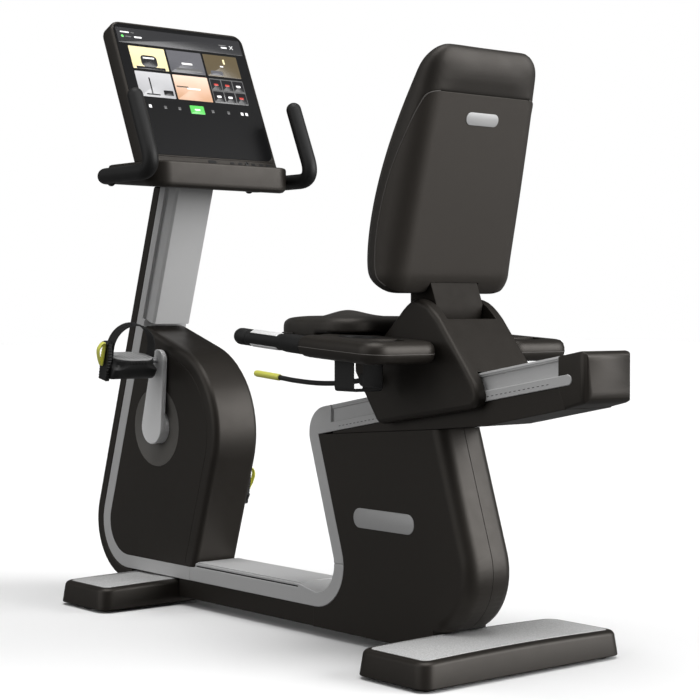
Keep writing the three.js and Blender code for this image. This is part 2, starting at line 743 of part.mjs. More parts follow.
// ---- Backrest ----
const backBottom = 762;
const backTop = 1262;
const backBelly = 842; // height at which the backrest reaches furthest forward
const backCurve = (points) => new THREE.SplineCurve(points.map(([x, z]) => new THREE.Vector2(x, z)));
const backSeam = backCurve([
  [452, 700], [416, 768], [392, 800], [389, 847], [396, 899], [412, 959], [435, 1017], [467, 1077], [500, 1137],
  [520, 1162], [560, 1168], [640, 1172]]);

function backFrontAt(z) {
  const above = Math.max(0, z - backBelly);
  const below = Math.max(0, backBelly - z);
  return 328 + 0.0061 * above ** 1.7 + 8.35e-5 * below ** 3;
}

const backRearAt = (z) => 438 + Math.tan(radians(13.2)) * (z - 779);

// A rounded block whose front and rear faces follow the rider's back, narrower towards the top.
function backBody() {
  const depth = 110;
  const plan = roundedRectangle(0, depth, -backHalf, backHalf, 50);
  const block = planPlate(plan, backBottom, backTop, 42, 3, 8);
  return reshape(block, (p) => {
    const front = backFrontAt(p.z);
    const high = Math.max(0, (p.z - 830) / 400);
    p.x = front + (p.x / depth) * (backRearAt(p.z) - front);
    const crown = Math.max(0, (p.z - 1190) / 72);
    p.y *= 1 - 0.14 * high ** 2.2 - 0.06 * crown ** 3;
  });
}

function behindSeam(offset) {
  const shape = new THREE.Shape();
  backSeam.getPoints(24).forEach((p, i) => (i ? shape.lineTo(p.x + offset, p.y) : shape.moveTo(p.x + offset, p.y)));
  shape.lineTo(640, 700);
  shape.closePath();
  return sidePlate(shape, -300, 300);
}

function backShell() {
  const nick = sidePlate(postOutline(1, 700, post.top + 1), -post.half - 1, post.half + 1);
  return cut(common(backBody(), behindSeam(0.6)), nick);
}

function backCushion() {
  return cut(backBody(), behindSeam(0), sidePlate(postOutline(1, 700, post.top + 1), -post.half - 1, post.half + 1));
}

// ---- Seat, armrests and grips ----
function seatOutline(inset) {
  const shape = new THREE.Shape();
  const half = seatPlan.half - inset;
  const front = seatPlan.front + inset;
  const rear = seatPlan.rear - inset;
  const frontRound = 110 - inset;
  const rearRound = 80 - inset;
  shape.absarc(rear - rearRound, -half + rearRound, rearRound, -Math.PI / 2, 0, false);
  shape.absarc(rear - rearRound, half - rearRound, rearRound, 0, Math.PI / 2, false);
  shape.absarc(front + frontRound, half - frontRound, frontRound, Math.PI / 2, Math.PI, false);
  shape.absarc(front + frontRound, -half + frontRound, frontRound, Math.PI, 1.5 * Math.PI, false);
  shape.closePath();
  return shape;
}

function seatCushion() {
  const block = planPlate(seatOutline(0), seatPlan.bottom, seatPlan.top, 14, 4);
  return cut(block, box(seatStep.x, 400, -300, 300, 600, seatStep.z));
}

// The pan follows the step under the cushion and rests on the carriage.
function seatPan() {
  const rear = 292;
  return sidePlate(polygon(
    [60, 656], [206, 656], [222, 662.3], [240, 662.4], [rear, 665.6], [rear, seatStep.z - gap],
    [seatStep.x + gap, seatStep.z - gap], [seatStep.x + gap, seatPlan.bottom - gap], [60, seatPlan.bottom - gap]),
  -92, 92);
}

const cup = { x: 352, y: -190, radius: 42 };
const gripJoint = 266;

function armrestOutline() {
  const { inner, outer, front, rear } = armrest;
  const corner = 44;
  const shape = new THREE.Shape();
  shape.moveTo(front + 40, -inner);
  shape.bezierCurveTo(front + 10, -inner - 4, front + 10, -170, 246, -206);
  shape.quadraticCurveTo(gripJoint - 6, -238, gripJoint, 20.5 - gripY);
  shape.lineTo(gripJoint, -gripY - 20.5);
  shape.lineTo(330, -outer);
  shape.absarc(rear - corner, -outer + corner, corner, -Math.PI / 2, 0, false);
  shape.absarc(rear - corner, -inner - corner, corner, 0, Math.PI / 2, false);
  shape.closePath();
  return shape;
}

function armrestBody() {
  const body = planPlate(armrestOutline(), armrest.bottom, armrest.top, 18, 4);
  const cupHole = new THREE.CylinderGeometry(cup.radius, cup.radius, 200, 28).rotateX(Math.PI / 2);
  cupHole.translate(cup.x, cup.y, 640);
  const pocket = new THREE.Shape();
  pocket.moveTo(420, -146);
  pocket.quadraticCurveTo(478, -150, 476, -196);
  pocket.quadraticCurveTo(472, -240, 428, -244);
  pocket.quadraticCurveTo(404, -196, 420, -146);
  const cutBody = cut(body, cupHole, planPlate(pocket, 500, 800, 0, 4));
  return reshape(cutBody, (p) => {
    p.z += armrest.rise * Math.max(0, armrest.level - p.x);
  });
}

const gripLength = 234;
const gripTilt = Math.atan(0.075);
const gripHeight = 656.5;

// Profile points are [radius, distance forward of the joint].
function onGrip(geometry) {
  return geometry.rotateZ(Math.PI / 2).rotateY(gripTilt).translate(gripJoint - 2, -gripY, gripHeight);
}

function handGrip() {
  const profile = [
    [0, 0], [19.5, 0], [19.5, 60], [17, 78], [17, 178], [18, 186], [18, gripLength - 18], [15.5, gripLength - 7],
    [9, gripLength - 1], [0, gripLength]];
  const points = profile.map(([radius, forward]) => new THREE.Vector2(radius, forward));
  return onGrip(new THREE.LatheGeometry(points, 18));
}

// Pulse sensor plate: a thin curved plate over the grip's narrow stretch.
function pulsePlate() {
  const half = radians(52);
  const shape = new THREE.Shape();
  shape.absarc(0, 0, 18.6, -half, half, false);
  shape.absarc(0, 0, 17.3, half, -half, true);
  shape.closePath();
  const plate = new THREE.ExtrudeGeometry(shape, { depth: 92, bevelEnabled: false, curveSegments: 4 });
  return onGrip(plate.rotateX(-Math.PI / 2).translate(0, 82, 0));
}

function bottleBracket() {
  const near = -230;
  const far = -150;
  const sheet = 3.5;
  const top = 626;
  const bottom = 563;
  const shape = new THREE.Shape();
  shape.moveTo(near, top);
  shape.lineTo(near, bottom + 9);
  shape.quadraticCurveTo(near, bottom, near + 9, bottom);
  shape.lineTo(far - 9, bottom);
  shape.quadraticCurveTo(far, bottom, far, bottom + 9);
  shape.lineTo(far, top);
  shape.lineTo(far - sheet, top);
  shape.lineTo(far - sheet, bottom + 9);
  shape.quadraticCurveTo(far - sheet, bottom + sheet, far - 9, bottom + sheet);
  shape.lineTo(near + 9, bottom + sheet);
  shape.quadraticCurveTo(near + sheet, bottom + sheet, near + sheet, bottom + 9);
  shape.lineTo(near + sheet, top);
  shape.closePath();
  return crossPlate(shape, cup.x - 30, cup.x + 30, 0, 4);
}

const leverPivot = { x: 296, z: 583 };

function seatLever() {
  const path = new THREE.CatmullRomCurve3([
    new THREE.Vector3(leverPivot.x, -leverY, leverPivot.z), new THREE.Vector3(220, -leverY, 574),
    new THREE.Vector3(140, -leverY, 571), new THREE.Vector3(60, -leverY, 574), new THREE.Vector3(3, -leverY, 579)]);
  const hub = crossRod(leverPivot.x, leverPivot.z, 14, -leverY - 8, -carriageHalf - gap, 24);
  return join(tube(path, 5.5, 8, 10), hub);
}

function leverGrip() {
  const length = 91;
  const profile = [[0, 0], [7, 0], [7.5, 4], [7.5, length - 6], [5, length - 1], [0, length]];
  const points = profile.map(([radius, forward]) => new THREE.Vector2(radius, forward));
  const sleeve = new THREE.LatheGeometry(points, 16).rotateZ(Math.PI / 2).rotateY(radians(4.5));
  return sleeve.translate(2.2, -leverY, 579.3);
}

// ---- Assembly ----
addPart('front_frame', frontFrame(), silver);
addPart('column_front_cover', columnCover(), darkPlastic);
addPart('base_rail', baseRail(), silver);
addPart('base_cover', baseCover(), darkPlastic);
addPart('seat_post', seatPost(), silver);
addPart('seat_rail', seatRail(), silver);
addPart('rail_under_cover', underCover(), darkPlastic);
addPart('rail_end_cap', endCap(), darkPlastic);
for (const [end, x, padX] of [['front', frontFootX, frontFootX], ['rear', rearFootX, rearFootX + 60]]) {
  addPart(`${end}_foot`, footBody(x), darkPlastic);
  for (const [side, across] of [['left', -242], ['right', 242]]) {
    addPart(`${end}_foot_pad_${side}`, footPad(padX, across), rubber);
  }
}

addPart('front_shroud_wrap', frontShroudWrap(), darkPlastic);
const panel = frontShroudPanel();
const rearHalf = rearShroudHalf();
for (const [side, place] of sides) {
  addPart(`front_shroud_panel_${side}`, place(panel), darkPlastic);
  addPart(`rear_shroud_${side}`, place(rearHalf), darkPlastic);
}

addPart('drive_bracket', driveBracket(), steel);
addPart('crank_axle', crossRod(crank.x, crank.z, axleRadius, -51.7, 51.7, 24), steel);
addPart('drive_pulley', drivePulley(), blackPlastic);
addPart('drive_belt', driveBelt(), rubber);
addPart('flywheel', flywheelDisc(), steel);

// The right crank and pedal stand opposite the left ones.
function opposite(geometry) {
  const turned = mirrored(geometry);
  return turned.translate(-crank.x, 0, -crank.z).rotateY(Math.PI).translate(crank.x, 0, crank.z);
}
const onLeftPedal = (geometry) => geometry.rotateY(pedalTilt).translate(pedalAxis.x, 0, pedalAxis.z);
const onRightPedal = (geometry) =>
  mirrored(geometry).rotateY(pedalTilt).translate(2 * crank.x - pedalAxis.x, 0, 2 * crank.z - pedalAxis.z);
const crankSides = [
  ['left', (geometry) => geometry, onLeftPedal], ['right', opposite, onRightPedal]];
for (const [side, place, placePedal] of crankSides) {
  addPart(`crank_bearing_${side}`, place(bearing()), steel);
  addPart(`crank_arm_${side}`, place(crankArm()), brightMetal);
  addPart(`crank_disc_${side}`, place(crankDisc()), darkPlastic);
  addPart(`pedal_spindle_${side}`, place(pedalSpindle()), steel);
  addPart(`pedal_${side}`, placePedal(pedalBody()), blackPlastic);
  addPart(`pedal_strap_${side}`, placePedal(pedalStrap()), rubber);
  addPart(`strap_buckle_${side}`, placePedal(strapBuckle()), yellow);
}

addPart('console_tray', consoleTray(), darkPlastic);
addPart('display_housing', displayHousing(), darkPlastic);
addPart('display_glass', displayGlass(), glassBlack);

addPart('carriage_shell', carriageShell(), darkPlastic);
addPart('lock_pin', lockPinGeometry(6, 1.5, 46), steel);
addPart('back_post', backPost(), darkPlastic);
addPart('back_shell', backShell(), darkPlastic);
addPart('back_cushion', backCushion(), upholstery);
addPart('seat_pan', seatPan(), blackPlastic);
addPart('seat_cushion', seatCushion(), upholstery);
addPart('seat_lever', seatLever(), blackPlastic);
addPart('lever_grip', leverGrip(), yellow);
for (const [side, place] of sides) {
  addPart(`handlebar_${side}`, place(handlebar()), rubber);
  addPart(`armrest_${side}`, place(armrestBody()), darkPlastic);
  addPart(`hand_grip_${side}`, place(handGrip()), rubber);
  addPart(`pulse_plate_${side}`, place(pulsePlate()), brightMetal);
  addPart(`bottle_bracket_${side}`, place(bottleBracket()), blackPlastic);
}

export default bike;
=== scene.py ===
"""Recumbent exercise bike: the looks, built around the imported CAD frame. Metres, +Z up."""
import json
import math
from contextlib import contextmanager

import bmesh
import bpy
from mathutils import Matrix, Vector


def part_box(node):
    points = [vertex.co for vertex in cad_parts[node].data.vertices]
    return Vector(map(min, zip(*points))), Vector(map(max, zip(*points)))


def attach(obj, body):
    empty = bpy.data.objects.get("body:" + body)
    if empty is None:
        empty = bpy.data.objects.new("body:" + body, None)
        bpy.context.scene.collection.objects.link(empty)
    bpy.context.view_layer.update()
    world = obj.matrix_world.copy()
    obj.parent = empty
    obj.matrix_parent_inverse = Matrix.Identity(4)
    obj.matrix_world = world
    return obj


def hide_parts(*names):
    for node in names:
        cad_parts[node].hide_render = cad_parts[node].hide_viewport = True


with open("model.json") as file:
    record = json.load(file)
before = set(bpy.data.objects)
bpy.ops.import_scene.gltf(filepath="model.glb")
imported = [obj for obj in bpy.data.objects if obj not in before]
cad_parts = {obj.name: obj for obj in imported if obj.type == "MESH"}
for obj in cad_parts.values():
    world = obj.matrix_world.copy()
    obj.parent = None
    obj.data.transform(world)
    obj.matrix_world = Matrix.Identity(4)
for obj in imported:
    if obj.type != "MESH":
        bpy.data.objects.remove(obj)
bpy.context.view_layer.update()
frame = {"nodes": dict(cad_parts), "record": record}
NODES = frame["nodes"]
RECORD = frame["record"]
BODY_OF = {node: body for body, nodes in RECORD["behaviour"]["bodies"].items() for node in nodes}
SLOT_OF = {row["node"]: row["material_slot"] for row in RECORD["subparts"]}

MM = 0.001
RAIL_PITCH = math.radians(10)
DISPLAY_LEAN = math.radians(24)
BODY_HALF = 0.065
ARMREST_SLOPE = 0.06
SIDES = (("left", -1), ("right", 1))
scene = bpy.context.scene


# ---------------------------------------------------------------- materials

def new_material(name, color, roughness, metallic=0.0, sheen=0.0, specular=0.5, tint=(1, 1, 1)):
    """A Principled material and the pieces of it that later steps link to."""
    material = bpy.data.materials.new(name)
    material.use_nodes = True
    tree = material.node_tree
    shader = tree.nodes["Principled BSDF"]
    shader.inputs["Base Color"].default_value = (*color, 1)
    shader.inputs["Roughness"].default_value = roughness
    shader.inputs["Metallic"].default_value = metallic
    shader.inputs["Sheen Weight"].default_value = sheen
    shader.inputs["Specular IOR Level"].default_value = specular
    shader.inputs["Specular Tint"].default_value = (*tint, 1)
    return material, tree, shader


def add_node(tree, kind, **inputs):
    node = tree.nodes.new(kind)
    for key, value in inputs.items():
        node.inputs[key.replace("_", " ")].default_value = value
    return node


def object_coordinates(tree, stretch=(1, 1, 1)):
    place = tree.nodes.new("ShaderNodeTexCoord")
    mapping = tree.nodes.new("ShaderNodeMapping")
    mapping.inputs["Scale"].default_value = stretch
    tree.links.new(place.outputs["Object"], mapping.inputs["Vector"])
    return mapping.outputs["Vector"]


def noise(tree, scale, detail=3.0, stretch=(1, 1, 1)):
    texture = add_node(tree, "ShaderNodeTexNoise", Scale=scale, Detail=detail, Roughness=0.55)
    tree.links.new(object_coordinates(tree, stretch), texture.inputs["Vector"])
    return texture.outputs["Fac"]


def spread(tree, value, low, high):
    """Maps a 0..1 pattern to low..high."""
    ramp = add_node(tree, "ShaderNodeMapRange", To_Min=low, To_Max=high)
    tree.links.new(value, ramp.inputs["Value"])
    return ramp.outputs["Result"]


def mix_colors(tree, factor, first, second):
    """A colour that goes from first to second as the factor goes from 0 to 1."""
    mix = tree.nodes.new("ShaderNodeMix")
    mix.data_type = "RGBA"
    mix.inputs["A"].default_value = (*first, 1)
    mix.inputs["B"].default_value = (*second, 1)
    tree.links.new(factor, mix.inputs["Factor"])
    return mix.outputs["Result"]


def vary_color(tree, shader, pattern, color, amount):
    """Lightens and darkens the base colour along a pattern."""
    darker = [c * (1 - amount) for c in color]
    lighter = [min(1, c * (1 + amount)) for c in color]
    tree.links.new(mix_colors(tree, pattern, darker, lighter), shader.inputs["Base Color"])


def add_bump(tree, shader, height, strength, distance):
    bump = add_node(tree, "ShaderNodeBump", Strength=strength, Distance=distance)
    tree.links.new(height, bump.inputs["Height"])
    tree.links.new(bump.outputs["Normal"], shader.inputs["Normal"])


def grained(name, color, roughness, metallic=0.0, grain=900.0, strength=0.25, distance=0.0002,
            amount=0.1, spread_by=0.06, **more):
    """A surface with cloudy colour, uneven gloss and a fine grain."""
    material, tree, shader = new_material(name, color, roughness, metallic, **more)
    vary_color(tree, shader, noise(tree, 6.0, 4.0), color, amount)
    tree.links.new(
        spread(tree, noise(tree, 38.0), roughness - spread_by, roughness + spread_by),
        shader.inputs["Roughness"])
    add_bump(tree, shader, noise(tree, grain, 2.0), strength, distance)
    return material


def leather(name, color):
    """Vinyl with a pebbled grain of small cells."""
    material, tree, shader = new_material(name, color, 0.5, sheen=0.05, tint=WARM)
    cells = add_node(tree, "ShaderNodeTexVoronoi", Scale=420.0, Randomness=0.9)
    cells.feature = "DISTANCE_TO_EDGE"
    tree.links.new(object_coordinates(tree), cells.inputs["Vector"])
    creases = spread(tree, cells.outputs["Distance"], 0.0, 1.0)
    creases.node.inputs["From Max"].default_value = 0.25
    vary_color(tree, shader, noise(tree, 5.0, 5.0), color, 0.12)
    tree.links.new(spread(tree, noise(tree, 30.0), 0.44, 0.58), shader.inputs["Roughness"])
    add_bump(tree, shader, creases, 0.3, 0.0003)
    return material


def speckled(name, color):
    """Hard rubber with a fine light and dark speckle."""
    material, tree, shader = new_material(name, color, 0.8, specular=0.15)
    grain = noise(tree, 330.0, 2.0)
    vary_color(tree, shader, grain, color, 0.5)
    add_bump(tree, shader, grain, 0.7, 0.0006)
    return material


def brushed(name, color, roughness, stretch):
    """Metal with fine parallel scratches."""
    material, tree, shader = new_material(name, color, roughness, 0.9)
    lines = noise(tree, 220.0, 3.0, stretch)
    tree.links.new(spread(tree, lines, roughness - 0.08, roughness + 0.1), shader.inputs["Roughness"])
    vary_color(tree, shader, noise(tree, 12.0), color, 0.05)
    add_bump(tree, shader, lines, 0.12, 0.0002)
    return material


def glowing(name, low, high, z_low, z_high, strength=0.55, mottle=0.0):
    """A lit picture area: a gradient from low to high with a soft cloud pattern over it."""
    material, tree, shader = new_material(name, low, 0.25)
    place = tree.nodes.new("ShaderNodeTexCoord")
    split = tree.nodes.new("ShaderNodeSeparateXYZ")
    tree.links.new(place.outputs["Object"], split.inputs["Vector"])
    height = add_node(tree, "ShaderNodeMapRange", From_Min=z_low, From_Max=z_high)
    tree.links.new(split.outputs["Z"], height.inputs["Value"])
    shift = tree.nodes.new("ShaderNodeMath")
    shift.operation = "MULTIPLY_ADD"
    tree.links.new(noise(tree, 28.0, 2.0), shift.inputs[0])
    shift.inputs[1].default_value = mottle
    tree.links.new(height.outputs["Result"], shift.inputs[2])
    color = mix_colors(tree, shift.outputs[0], low, high)
    tree.links.new(color, shader.inputs["Base Color"])
    tree.links.new(color, shader.inputs["Emission Color"])
    shader.inputs["Emission Strength"].default_value = strength
    return material


WARM = (1.0, 0.93, 0.86)
DARK = (0.0135, 0.0115, 0.0095)
LOOKS = {
    "silver_paint": grained("silver_paint", (0.57, 0.57, 0.57), 0.45, 0.15, grain=1500.0, strength=0.12,
                            amount=0.04),
    "dark_plastic": grained("dark_plastic", DARK, 0.45, grain=1100.0, strength=0.3, specular=0.45,
                            tint=WARM),
    "black_plastic": grained("black_plastic", (0.012, 0.012, 0.012), 0.45, grain=900.0, strength=0.3,
                             specular=0.4),
    "rubber": grained("rubber", (0.009, 0.009, 0.009), 0.55, grain=700.0, strength=0.4, specular=0.35),
    "upholstery": leather("upholstery", (0.013, 0.0112, 0.0093)),
    "screen_glass": new_material("screen_glass", (0.006, 0.006, 0.0065), 0.28, specular=0.15)[0],
    "cast_silver": grained("cast_silver", (0.93, 0.93, 0.93), 0.36, 0.0, grain=500.0, strength=0.15,
                           amount=0.05),
    "steel": brushed("steel", (0.50, 0.50, 0.51), 0.34, (1, 1, 0.05)),
    "yellow_plastic": grained("yellow_plastic", (0.78, 0.78, 0.14), 0.4, grain=600.0, strength=0.2,
                              amount=0.06),
}
BACK_VINYL = leather("back_vinyl", (0.024, 0.0205, 0.017))
POST_DARK = grained("post_dark", DARK, 0.6, specular=0.18, tint=WARM)
FOOT_MAT = speckled("foot_mat", (0.49, 0.49, 0.487))
# Near-black: painted shade in the rail's rack slots and painted shadow in the tread's groove; also the dark
# of the console's ports and sensor.
SHADE_AND_PORT_BLACK = grained("shade_and_port_black", (0.004, 0.004, 0.004), 0.8)
DISC_GREY = grained("disc_grey", (0.110, 0.104, 0.095), 0.4, grain=900.0)
PEDAL_GREY = grained("pedal_grey", (0.40, 0.40, 0.40), 0.6, grain=600.0, strength=0.5)
# A lighter grey for the back welt and the armrest seam line; on the armrest seam the lighter grey is a
# painted highlight along the parting line.
WELT_AND_SEAM_HIGHLIGHT = grained("welt", (0.120, 0.112, 0.104), 0.7, grain=600.0)
BADGE = grained("badge", (0.50, 0.50, 0.50), 0.4, 0.3, grain=500.0, strength=0.15, amount=0.04)


# ---------------------------------------------------------------- mesh helpers

@contextmanager
def editing(mesh):
    """Opens a mesh for changes and writes them back at the end."""
    work = bmesh.new()
    work.from_mesh(mesh)
    yield work
    work.to_mesh(mesh)
    work.free()


def smooth_by_angle(mesh, degrees):
    """Smooth shading, with the edges sharper than an angle kept crisp."""
    limit = math.radians(degrees)
    with editing(mesh) as work:
        for face in work.faces:
            face.smooth = True
        for edge in work.edges:
            edge.smooth = len(edge.link_faces) == 2 and edge.calc_face_angle(0.0) < limit


def finish_piece(piece, body, slot, material):
    piece.data.materials.clear()
    piece.data.materials.append(material)
    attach(piece, body)
    return piece


def make(name, vertices, faces, angle=40.0):
    mesh = bpy.data.meshes.new(name)
    mesh.from_pydata([tuple(v) for v in vertices], [], faces)
    with editing(mesh) as work:
        bmesh.ops.remove_doubles(work, verts=work.verts, dist=1e-6)
        bmesh.ops.recalc_face_normals(work, faces=work.faces)
    smooth_by_angle(mesh, angle)
    piece = bpy.data.objects.new(name, mesh)
    scene.collection.objects.link(piece)
    return piece


def soften(piece, width, segments=2, angle=35.0):
    """Rounds the edges sharper than an angle."""
    bevel = piece.modifiers.new("edge", "BEVEL")
    bevel.width = width
    bevel.segments = segments
    bevel.limit_method = "ANGLE"
    bevel.angle_limit = math.radians(angle)
    bevel.use_clamp_overlap = False
    bevel.harden_normals = False
    weighted = piece.modifiers.new("normals", "WEIGHTED_NORMAL")
    weighted.keep_sharp = True
    return piece


def bake_modifiers(piece):
    """Makes the piece's modifiers part of its mesh."""
    depsgraph = bpy.context.evaluated_depsgraph_get()
    mesh = bpy.data.meshes.new_from_object(piece.evaluated_get(depsgraph))
    piece.modifiers.clear()
    piece.data = mesh
    return piece


def carve(piece, tool, operation="DIFFERENCE"):
    """Cuts the piece with a tool object, which is then deleted."""
    cut = piece.modifiers.new("cut", "BOOLEAN")
    cut.operation = operation
    cut.solver = "EXACT"
    cut.object = tool
    bpy.context.view_layer.update()
    bake_modifiers(piece)
    bpy.data.objects.remove(tool)
    return piece


def rings_mesh(name, rings, angle=40.0, closed_path=False):
    """A skin over rings of equal point counts, capped at both ends unless the path is closed."""
    count = len(rings[0])
    vertices = [point for ring in rings for point in ring]
    faces = []
    spans = len(rings) if closed_path else len(rings) - 1
    for i in range(spans):
        for k in range(count):
            a = i * count + k
            b = i * count + (k + 1) % count
            c = (i + 1) % len(rings) * count + (k + 1) % count
            d = (i + 1) % len(rings) * count + k
            faces.append((a, b, c, d))
    if not closed_path:
        faces.append(tuple(range(count)))
        faces.append(tuple(range((len(rings) - 1) * count, len(rings) * count)))
    return make(name, vertices, faces, angle)


def sweep(name, path, section, side, angle=40.0):
    """Carries a section of (across, up) points along a path; side is the direction that across stays near."""
    path = [Vector(p) for p in path]
    side = Vector(side)
    rings = []
    for i, point in enumerate(path):
        ahead = path[min(i + 1, len(path) - 1)] - path[max(i - 1, 0)]
        ahead.normalize()
        across = side - ahead * side.dot(ahead)
        across.normalize()
        up = ahead.cross(across)
        rings.append([point + across * u + up * v for u, v in section])
    return rings_mesh(name, rings, angle)


def circle(radius, sides=32):
    turns = [2 * math.pi * k / sides for k in range(sides)]
    return [(radius * math.cos(turn), radius * math.sin(turn)) for turn in turns]


def arc(x, y, radius, start, end, steps):
    """Points on an arc, angles in degrees."""
    turns = [math.radians(start + (end - start) * k / steps) for k in range(steps + 1)]
    return [(x + radius * math.cos(turn), y + radius * math.sin(turn)) for turn in turns]


def rounded_rectangle(x_low, x_high, y_low, y_high, radius, steps=6, low_radius=None):
    """A counter-clockwise outline; low_radius is for the two corners at x_low where they differ."""
    other = low_radius or radius
    return (arc(x_high - radius, y_low + radius, radius, -90, 0, steps)
            + arc(x_high - radius, y_high - radius, radius, 0, 90, steps)
            + arc(x_low + other, y_high - other, other, 90, 180, steps)
            + arc(x_low + other, y_low + other, other, 180, 270, steps))


def inset(outline, amount):
    """The outline moved inwards; it runs counter-clockwise."""
    moved = []
    for i, (x, y) in enumerate(outline):
        before = Vector(outline[i - 1])
        after = Vector(outline[(i + 1) % len(outline)])
        ahead = after - before
        if ahead.length < 1e-9:
            ahead = Vector((1, 0))
        ahead.normalize()
        moved.append((x - ahead.y * amount, y + ahead.x * amount))
    return moved


def slab(name, outline, low, high, round_top, round_bottom, place, steps=5, angle=40.0):
    """A plate over an outline, with rounded upper and lower rims; place turns (a, b, height) into 3-D."""
    rings = []
    for k in range(steps + 1):
        turn = math.pi / 2 * k / steps
        ring = inset(outline, round_bottom * (1 - math.sin(turn)))
        rings.append([place(a, b, low + round_bottom * (1 - math.cos(turn))) for a, b in ring])
    for k in range(steps + 1):
        turn = math.pi / 2 * k / steps
        ring = inset(outline, round_top * (1 - math.cos(turn)))
        rings.append([place(a, b, high - round_top * (1 - math.sin(turn))) for a, b in ring])
    return rings_mesh(name, rings, angle)


def flat(a, b, height):
    """Places a slab level, with its outline in X and Y."""
    return Vector((a, b, height))


def turned(name, profile, origin, direction, sides=32, angle=40.0):
    """A lathe shape: profile of (radius, distance along direction)."""
    axis = Vector(direction).normalized()
    across = axis.orthogonal().normalized()
    other = axis.cross(across)
    rings = []
    for radius, distance in profile:
        radius = max(radius, 1e-5)
        centre = Vector(origin) + axis * distance
        rings.append([centre + across * u + other * v for u, v in circle(radius, sides)])
    return rings_mesh(name, rings, angle)


def block(name, low, high, width=0.0008):
    x0, y0, z0 = low
    x1, y1, z1 = high
    corners = [(x, y, z) for z in (z0, z1) for y in (y0, y1) for x in (x0, x1)]
    faces = [(0, 2, 3, 1), (4, 5, 7, 6), (0, 1, 5, 4), (2, 6, 7, 3), (0, 4, 6, 2), (1, 3, 7, 5)]
    piece = make(name, corners, faces)
    if width:
        soften(piece, width)
    return piece


def clean_copy(name, node, tidy=True):
    """The node's own mesh; tidy merges its triangles back into whole faces."""
    mesh = NODES[node].data.copy()
    with editing(mesh) as work:
        bmesh.ops.remove_doubles(work, verts=work.verts, dist=2e-5)
        bmesh.ops.dissolve_degenerate(work, edges=work.edges, dist=1e-5)
        if tidy:
            bmesh.ops.dissolve_limit(work, angle_limit=math.radians(0.6), verts=work.verts, edges=work.edges)
        bmesh.ops.recalc_face_normals(work, faces=work.faces)
    piece = bpy.data.objects.new(name, mesh)
    scene.collection.objects.link(piece)
    return piece


def stand_for(piece, node, material=None):
    """The piece replaces a CAD node, goes on its body and takes its slot's material unless one is given."""
    slot = SLOT_OF[node]
    finish_piece(piece, BODY_OF[node], slot, material or LOOKS[slot])
    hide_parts(node)
    return piece


def dress(node, width=0.001, angle=35.0, material=None, tidy=True):
    """A piece in the node's place: the same shape with rounded edges and smooth curves."""
    piece = clean_copy(node + "_skin", node, tidy)
    smooth_by_angle(piece.data, 32.0 if width else 50.0)
    if width:
        soften(piece, width, 2, angle)
    return stand_for(piece, node, material)


def detail(piece, node, material, slot=None):
    """An extra piece on the same body as a node."""
    return finish_piece(piece, BODY_OF[node], slot or SLOT_OF[node], material)


# ---------------------------------------------------------------- guide lines

RAIL_POINT = (0.103, 0.520)  # X and Z of a point on the rail's top edge


def rail_z(x, depth=0.0):
    """Height of a line at a depth below the rail's top edge."""
    return RAIL_POINT[1] + (x - RAIL_POINT[0]) * math.tan(RAIL_PITCH) - depth / math.cos(RAIL_PITCH)


# ---------------------------------------------------------------- frame

def build_frame():
    dress("front_frame", 0.0008, 20.0)
    dress("column_front_cover", 0.004)
    dress("base_rail", 0.0014)
    dress("base_cover", 0.002)
    dress("seat_post", 0.0018)
    dress("rail_under_cover", 0.0012)
    build_rail()
    build_end_cap()
    build_step_plate()
    for end in ("front", "rear"):
        build_foot(end)


def build_rail():
    """The seat rail, with near-black dashes of painted shade for the rack slots in both ribs, and a bead
    along each.
    """
    dress("seat_rail", 0.0012)
    low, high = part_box("seat_rail")
    pitch = 0.0125
    slot_length, slot_height = 0.006, 0.0012
    glide_x = 0.583
    first = low.x + 0.03
    count = int((high.x - 0.05 - first) / pitch)
    for side, sign in SIDES:
        vertices = []
        faces = []
        for k in range(count):
            x = first + k * pitch
            z = rail_z(x, 0.0505)
            start = len(vertices)
            for dy in (-0.0015, 0.0002):
                for dx, dz in ((0, 0), (slot_length, 0), (slot_length, slot_height), (0, slot_height)):
                    tilt = dx * math.tan(RAIL_PITCH)
                    vertices.append((x + dx, sign * (high.y + dy), z + dz + tilt))
            faces += [(start, start + 1, start + 2, start + 3), (start + 7, start + 6, start + 5, start + 4)]
            for i in range(4):
                j = (i + 1) % 4
                faces.append((start + i, start + 4 + i, start + 4 + j, start + j))
        # the rack slots are near-black dashes barely proud of each rib: painted shade in place of open slots
        detail(make("rail_rack_slot_shade_" + side, vertices, faces), "seat_rail", SHADE_AND_PORT_BLACK)
        bead = [(x, sign * 0.0602, rail_z(x, 0.004)) for x in (low.x + 0.002, 0.79)]
        bead_piece = sweep("rail_top_bead_" + side, bead, circle(0.0028, 16), (0, 1, 0))
        detail(bead_piece, "seat_rail", LOOKS["silver_paint"])
        profile = [(0, 0), (0.010, 0), (0.011, 0.001), (0.011, 0.006), (0.009, 0.007), (0, 0.007)]
        centre = (glide_x, sign * 0.0655, rail_z(glide_x, 0.030))
        glide = turned("rail_glide_" + side, profile, centre, (0, sign, 0), 28)
        detail(glide, "carriage_shell", LOOKS["rubber"], "rubber")


